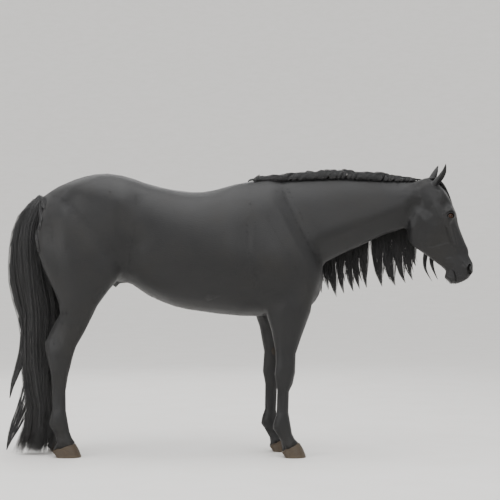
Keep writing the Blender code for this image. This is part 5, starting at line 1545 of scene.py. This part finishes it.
def onCoronets(points):
    level = squared(points)
    fore = rimLevel(level[:, 0], "fore", *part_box("hoof_fore_right"))
    hind = rimLevel(level[:, 0], "hind", *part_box("hoof_hind_right"))
    above = points[:, 2] - np.where(level[:, 0] > stance["behindForelegs"], fore, hind)
    return ((above > -0.006) & (above < 0.014) & (points[:, 2] < 0.12)).astype(float)


def onTendons(points):
    low = ease(points[:, 2], 0.22, 0.30) * (1 - ease(points[:, 2], 0.40, 0.52))
    return low + 0.6 * ease(points[:, 2], 0.56, 0.62) * (1 - ease(points[:, 2], 0.80, 0.95))


def onBelly(points):
    middle = np.abs(points[:, 1]) < 0.16
    return ease(points[:, 2], 0.74, 0.78) * (1 - ease(points[:, 2], 1.00, 1.08)) * middle


def onJaw(points):
    head = inHead(points)
    below = (points[:, 0] > 0.96) * (head[:, 1] < -0.06)
    return below * ease(head[:, 0], 0.06, 0.14) * (1 - ease(head[:, 0], 0.50, 0.54))


def onRump(points):
    return (points[:, 0] < -1.02) * (points[:, 2] > 0.80) * (points[:, 2] < 1.42)


fringeShape = {
    "share": 1.0, "flatness": 0.25, "earLie": (0.45, 0.0, 1.0),
    # how many, weight by place, the side they need to face, length, half width, rise, bend
    "ears": (2400, onEars, None, 0.008, 0.0005, 0.10, 0.04),
    "fetlocks": (2600, onFetlocks, (-1, 0, 0), 0.019, 0.0008, 0.24, 0.18),
    "coronets": (2200, onCoronets, None, 0.014, 0.0008, 0.22, 0.16),
    "tendons": (1800, onTendons, (-1, 0, 0), 0.015, 0.0009, 0.20, 0.10),
    "belly": (3000, onBelly, (0, 0, -1), 0.022, 0.0010, 0.14, 0.06),
    "jaw": (2000, onJaw, None, 0.016, 0.0006, 0.11, 0.05),
    "rump": (1600, onRump, (-1, 0, 0), 0.022, 0.0010, 0.11, 0.05),
}


def makeFringes():
    made, roots = [], []
    for place in ("ears", "fetlocks", "coronets", "tendons", "belly", "jaw", "rump"):
        count, weight, side, length, halfWidth, rise, bend = fringeShape[place]
        spots, facing = scatter(int(count * fringeShape["share"]), weight)
        if side is not None:
            seen = facing @ np.array(side, float) > 0.25
            spots, facing = spots[seen], facing[seen]
        lie = np.tile(fringeShape["earLie"], (len(spots), 1)) if place == "ears" else None
        made.append(layTufts(spots, facing, length, halfWidth, rise, lie, bend, 3))
        roots.append(spots)
    paths, widths, out = (np.concatenate(part) for part in zip(*made))
    addCoat("coatFringes", paths, widths, out, np.concatenate(roots), fringeShape["flatness"])


# lashes on the upper lids, and whiskers on the lips and chin

lashShape = {
    "count": 54, "spread": (0.20, 0.86), "length": 0.015, "halfWidth": 0.00030,
    "taper": (1.0, 0.95, 0.8, 0.5, 0.1), "offLid": 0.0010, "offEye": 0.0030,
    "outward": 0.80, "droop": 0.20, "fan": 0.35, "curl": 0.50,
}
whiskerShape = {
    "count": 110, "length": 0.016, "halfWidth": 0.00018, "rise": 0.9, "bend": 0.35,
    "inside": 0.001,                           # none reaches past the frame's own box
}


def growLashes():
    paths, widths, out = [], [], []
    steps, point = len(lashShape["taper"]), 2 / lidShape["point"]
    t = np.linspace(0, 1, steps)[:, None]
    for side, spot in eyeSpot.items():
        outward, along, up = (np.array(axis) for axis in eyeAxes(side))
        for angle in np.linspace(*lashShape["spread"], lashShape["count"]) * math.pi:
            turn = angle + dice.normal(0, 0.02)
            a = lidShape["halfLength"] * np.sign(math.cos(turn)) * abs(math.cos(turn)) ** point
            b = lidShape["above"] * abs(math.sin(turn)) ** point + lashShape["offLid"]
            radius = eyeRadius + lashShape["offEye"]
            depth = math.sqrt(max(radius ** 2 - a ** 2 - b ** 2, 1e-5))
            root = np.array(spot) + along * a + up * b + outward * depth
            length = lashShape["length"] * dice.uniform(0.7, 1.1)
            fan = lashShape["fan"] * math.cos(turn) + dice.normal(0, 0.10)
            way = outward * lashShape["outward"] - up * lashShape["droop"] + along * fan
            paths.append(root + way * length * t + up * length * lashShape["curl"] * t ** 2)
            widths.append(lashShape["halfWidth"] * np.array(lashShape["taper"]))
            out.append(np.tile(up, (steps, 1)))
    return np.array(paths), np.array(widths), np.array(out)


def onLips(points):
    head = inHead(points)
    return beforeThroat(points) * ease(head[:, 0], 0.50, 0.56) * (1 - 0.8 * ease(head[:, 1], -0.05, 0.01)) \
        * ease(lipDistance(points), 0.004, 0.012)


def growWhiskers():
    spots, facing = scatter(whiskerShape["count"], onLips)
    made = layTufts(spots, facing, whiskerShape["length"], whiskerShape["halfWidth"], whiskerShape["rise"],
                    None, whiskerShape["bend"], len(lashShape["taper"]), hug=False)
    short = made[0][:, :, 0].max(axis=1) < cadBox[1].x - whiskerShape["inside"]
    return [part[short] for part in made] + [spots[short]]


def makeLashes():
    lashes = growLashes()
    whiskers = growWhiskers()
    paths, widths, out = (np.concatenate(pair) for pair in zip(lashes, whiskers))
    roots = np.concatenate([lashes[0][:, 0], whiskers[3]])
    shades = dice.uniform(0.2, 0.6, len(paths))
    hair = makeStrands("lashesAndWhiskers", paths, widths, out, shades, 1.0, roots)
    hair.data.materials.append(longHair)


makeTufts()
makeFringes()
makeLashes()
print("coat, lashes and whiskers made")


# chestnuts: flat calluses of grey horn inside each leg

callusShape = {
    "fore": (0.262, 0.575, -0.15), "hind": (-0.990, 0.520, 0.2),       # place along and up, tilt
    "size": (0.013, 0.0045, 0.030), "bumps": 0.0010, "bumpWaves": ((700, 300, 520), (-300, 200, 610)),
    "dark": "#1f1c19", "light": "#3a342e", "roughness": (0.6, 0.9),
    "flakes": 240.0, "clouds": 160.0, "bump": 0.6, "bumpDepth": 0.0012,
}


def callusMaterial():
    # dry, flaking grey-brown horn without a shine
    look = callusShape
    material, surface = newMaterial("callusHorn", IOR=1.5, Specular_IOR_Level=0.3)
    place = addNode(material, "TexCoord").outputs["Object"]
    flakes = addNode(material, "TexVoronoi", {"Vector": place, "Scale": look["flakes"]})
    cloud = addNode(material, "TexNoise", {"Vector": place, "Scale": look["clouds"], "Detail": 4.0})
    colour = addRamp(material, cloud.outputs["Fac"], ((0.3, look["dark"]), (0.7, look["light"])))
    least, most = look["roughness"]
    gloss = addNode(material, "MapRange", {"Value": cloud.outputs["Fac"], "To Min": least, "To Max": most})
    bump = addNode(material, "Bump", {"Height": flakes.outputs["Distance"], "Strength": look["bump"],
                                      "Distance": look["bumpDepth"]})
    setLinks(material, surface, colour, gloss.outputs[0], bump.outputs["Normal"])
    return material


def makeCalluses():
    material = callusMaterial()
    made = []
    for kind in ("fore", "hind"):
        x, z, tilt = callusShape[kind]
        for way, shift in ((-1, 0.0), (1, legShift[kind])):
            spot = skinHit(x - shift, 0.0, z, (0, way, 0))[0]
            deselect()
            bpy.ops.mesh.primitive_ico_sphere_add(subdivisions=4, radius=1, location=spot,
                                                  rotation=(0, tilt, 0))
            callus = bpy.context.object
            callus.scale = callusShape["size"]
            bpy.ops.object.transform_apply(location=True, rotation=True, scale=True)
            points = readPoints(callus)
            first, second = (np.sin(points @ np.array(wave)) for wave in callusShape["bumpWaves"])
            bumps = callusShape["bumps"] * first * second
            writePoints(callus, points + readPoints(callus, "normal") * bumps[:, None])
            made.append(callus)
    whole = pick(*made)
    bpy.ops.object.join()
    whole.name = "chestnuts"
    whole.data.materials.clear()
    whole.data.materials.append(material)
    bpy.ops.object.shade_smooth()
    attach(whole, "root")


makeCalluses()
print("calluses made")
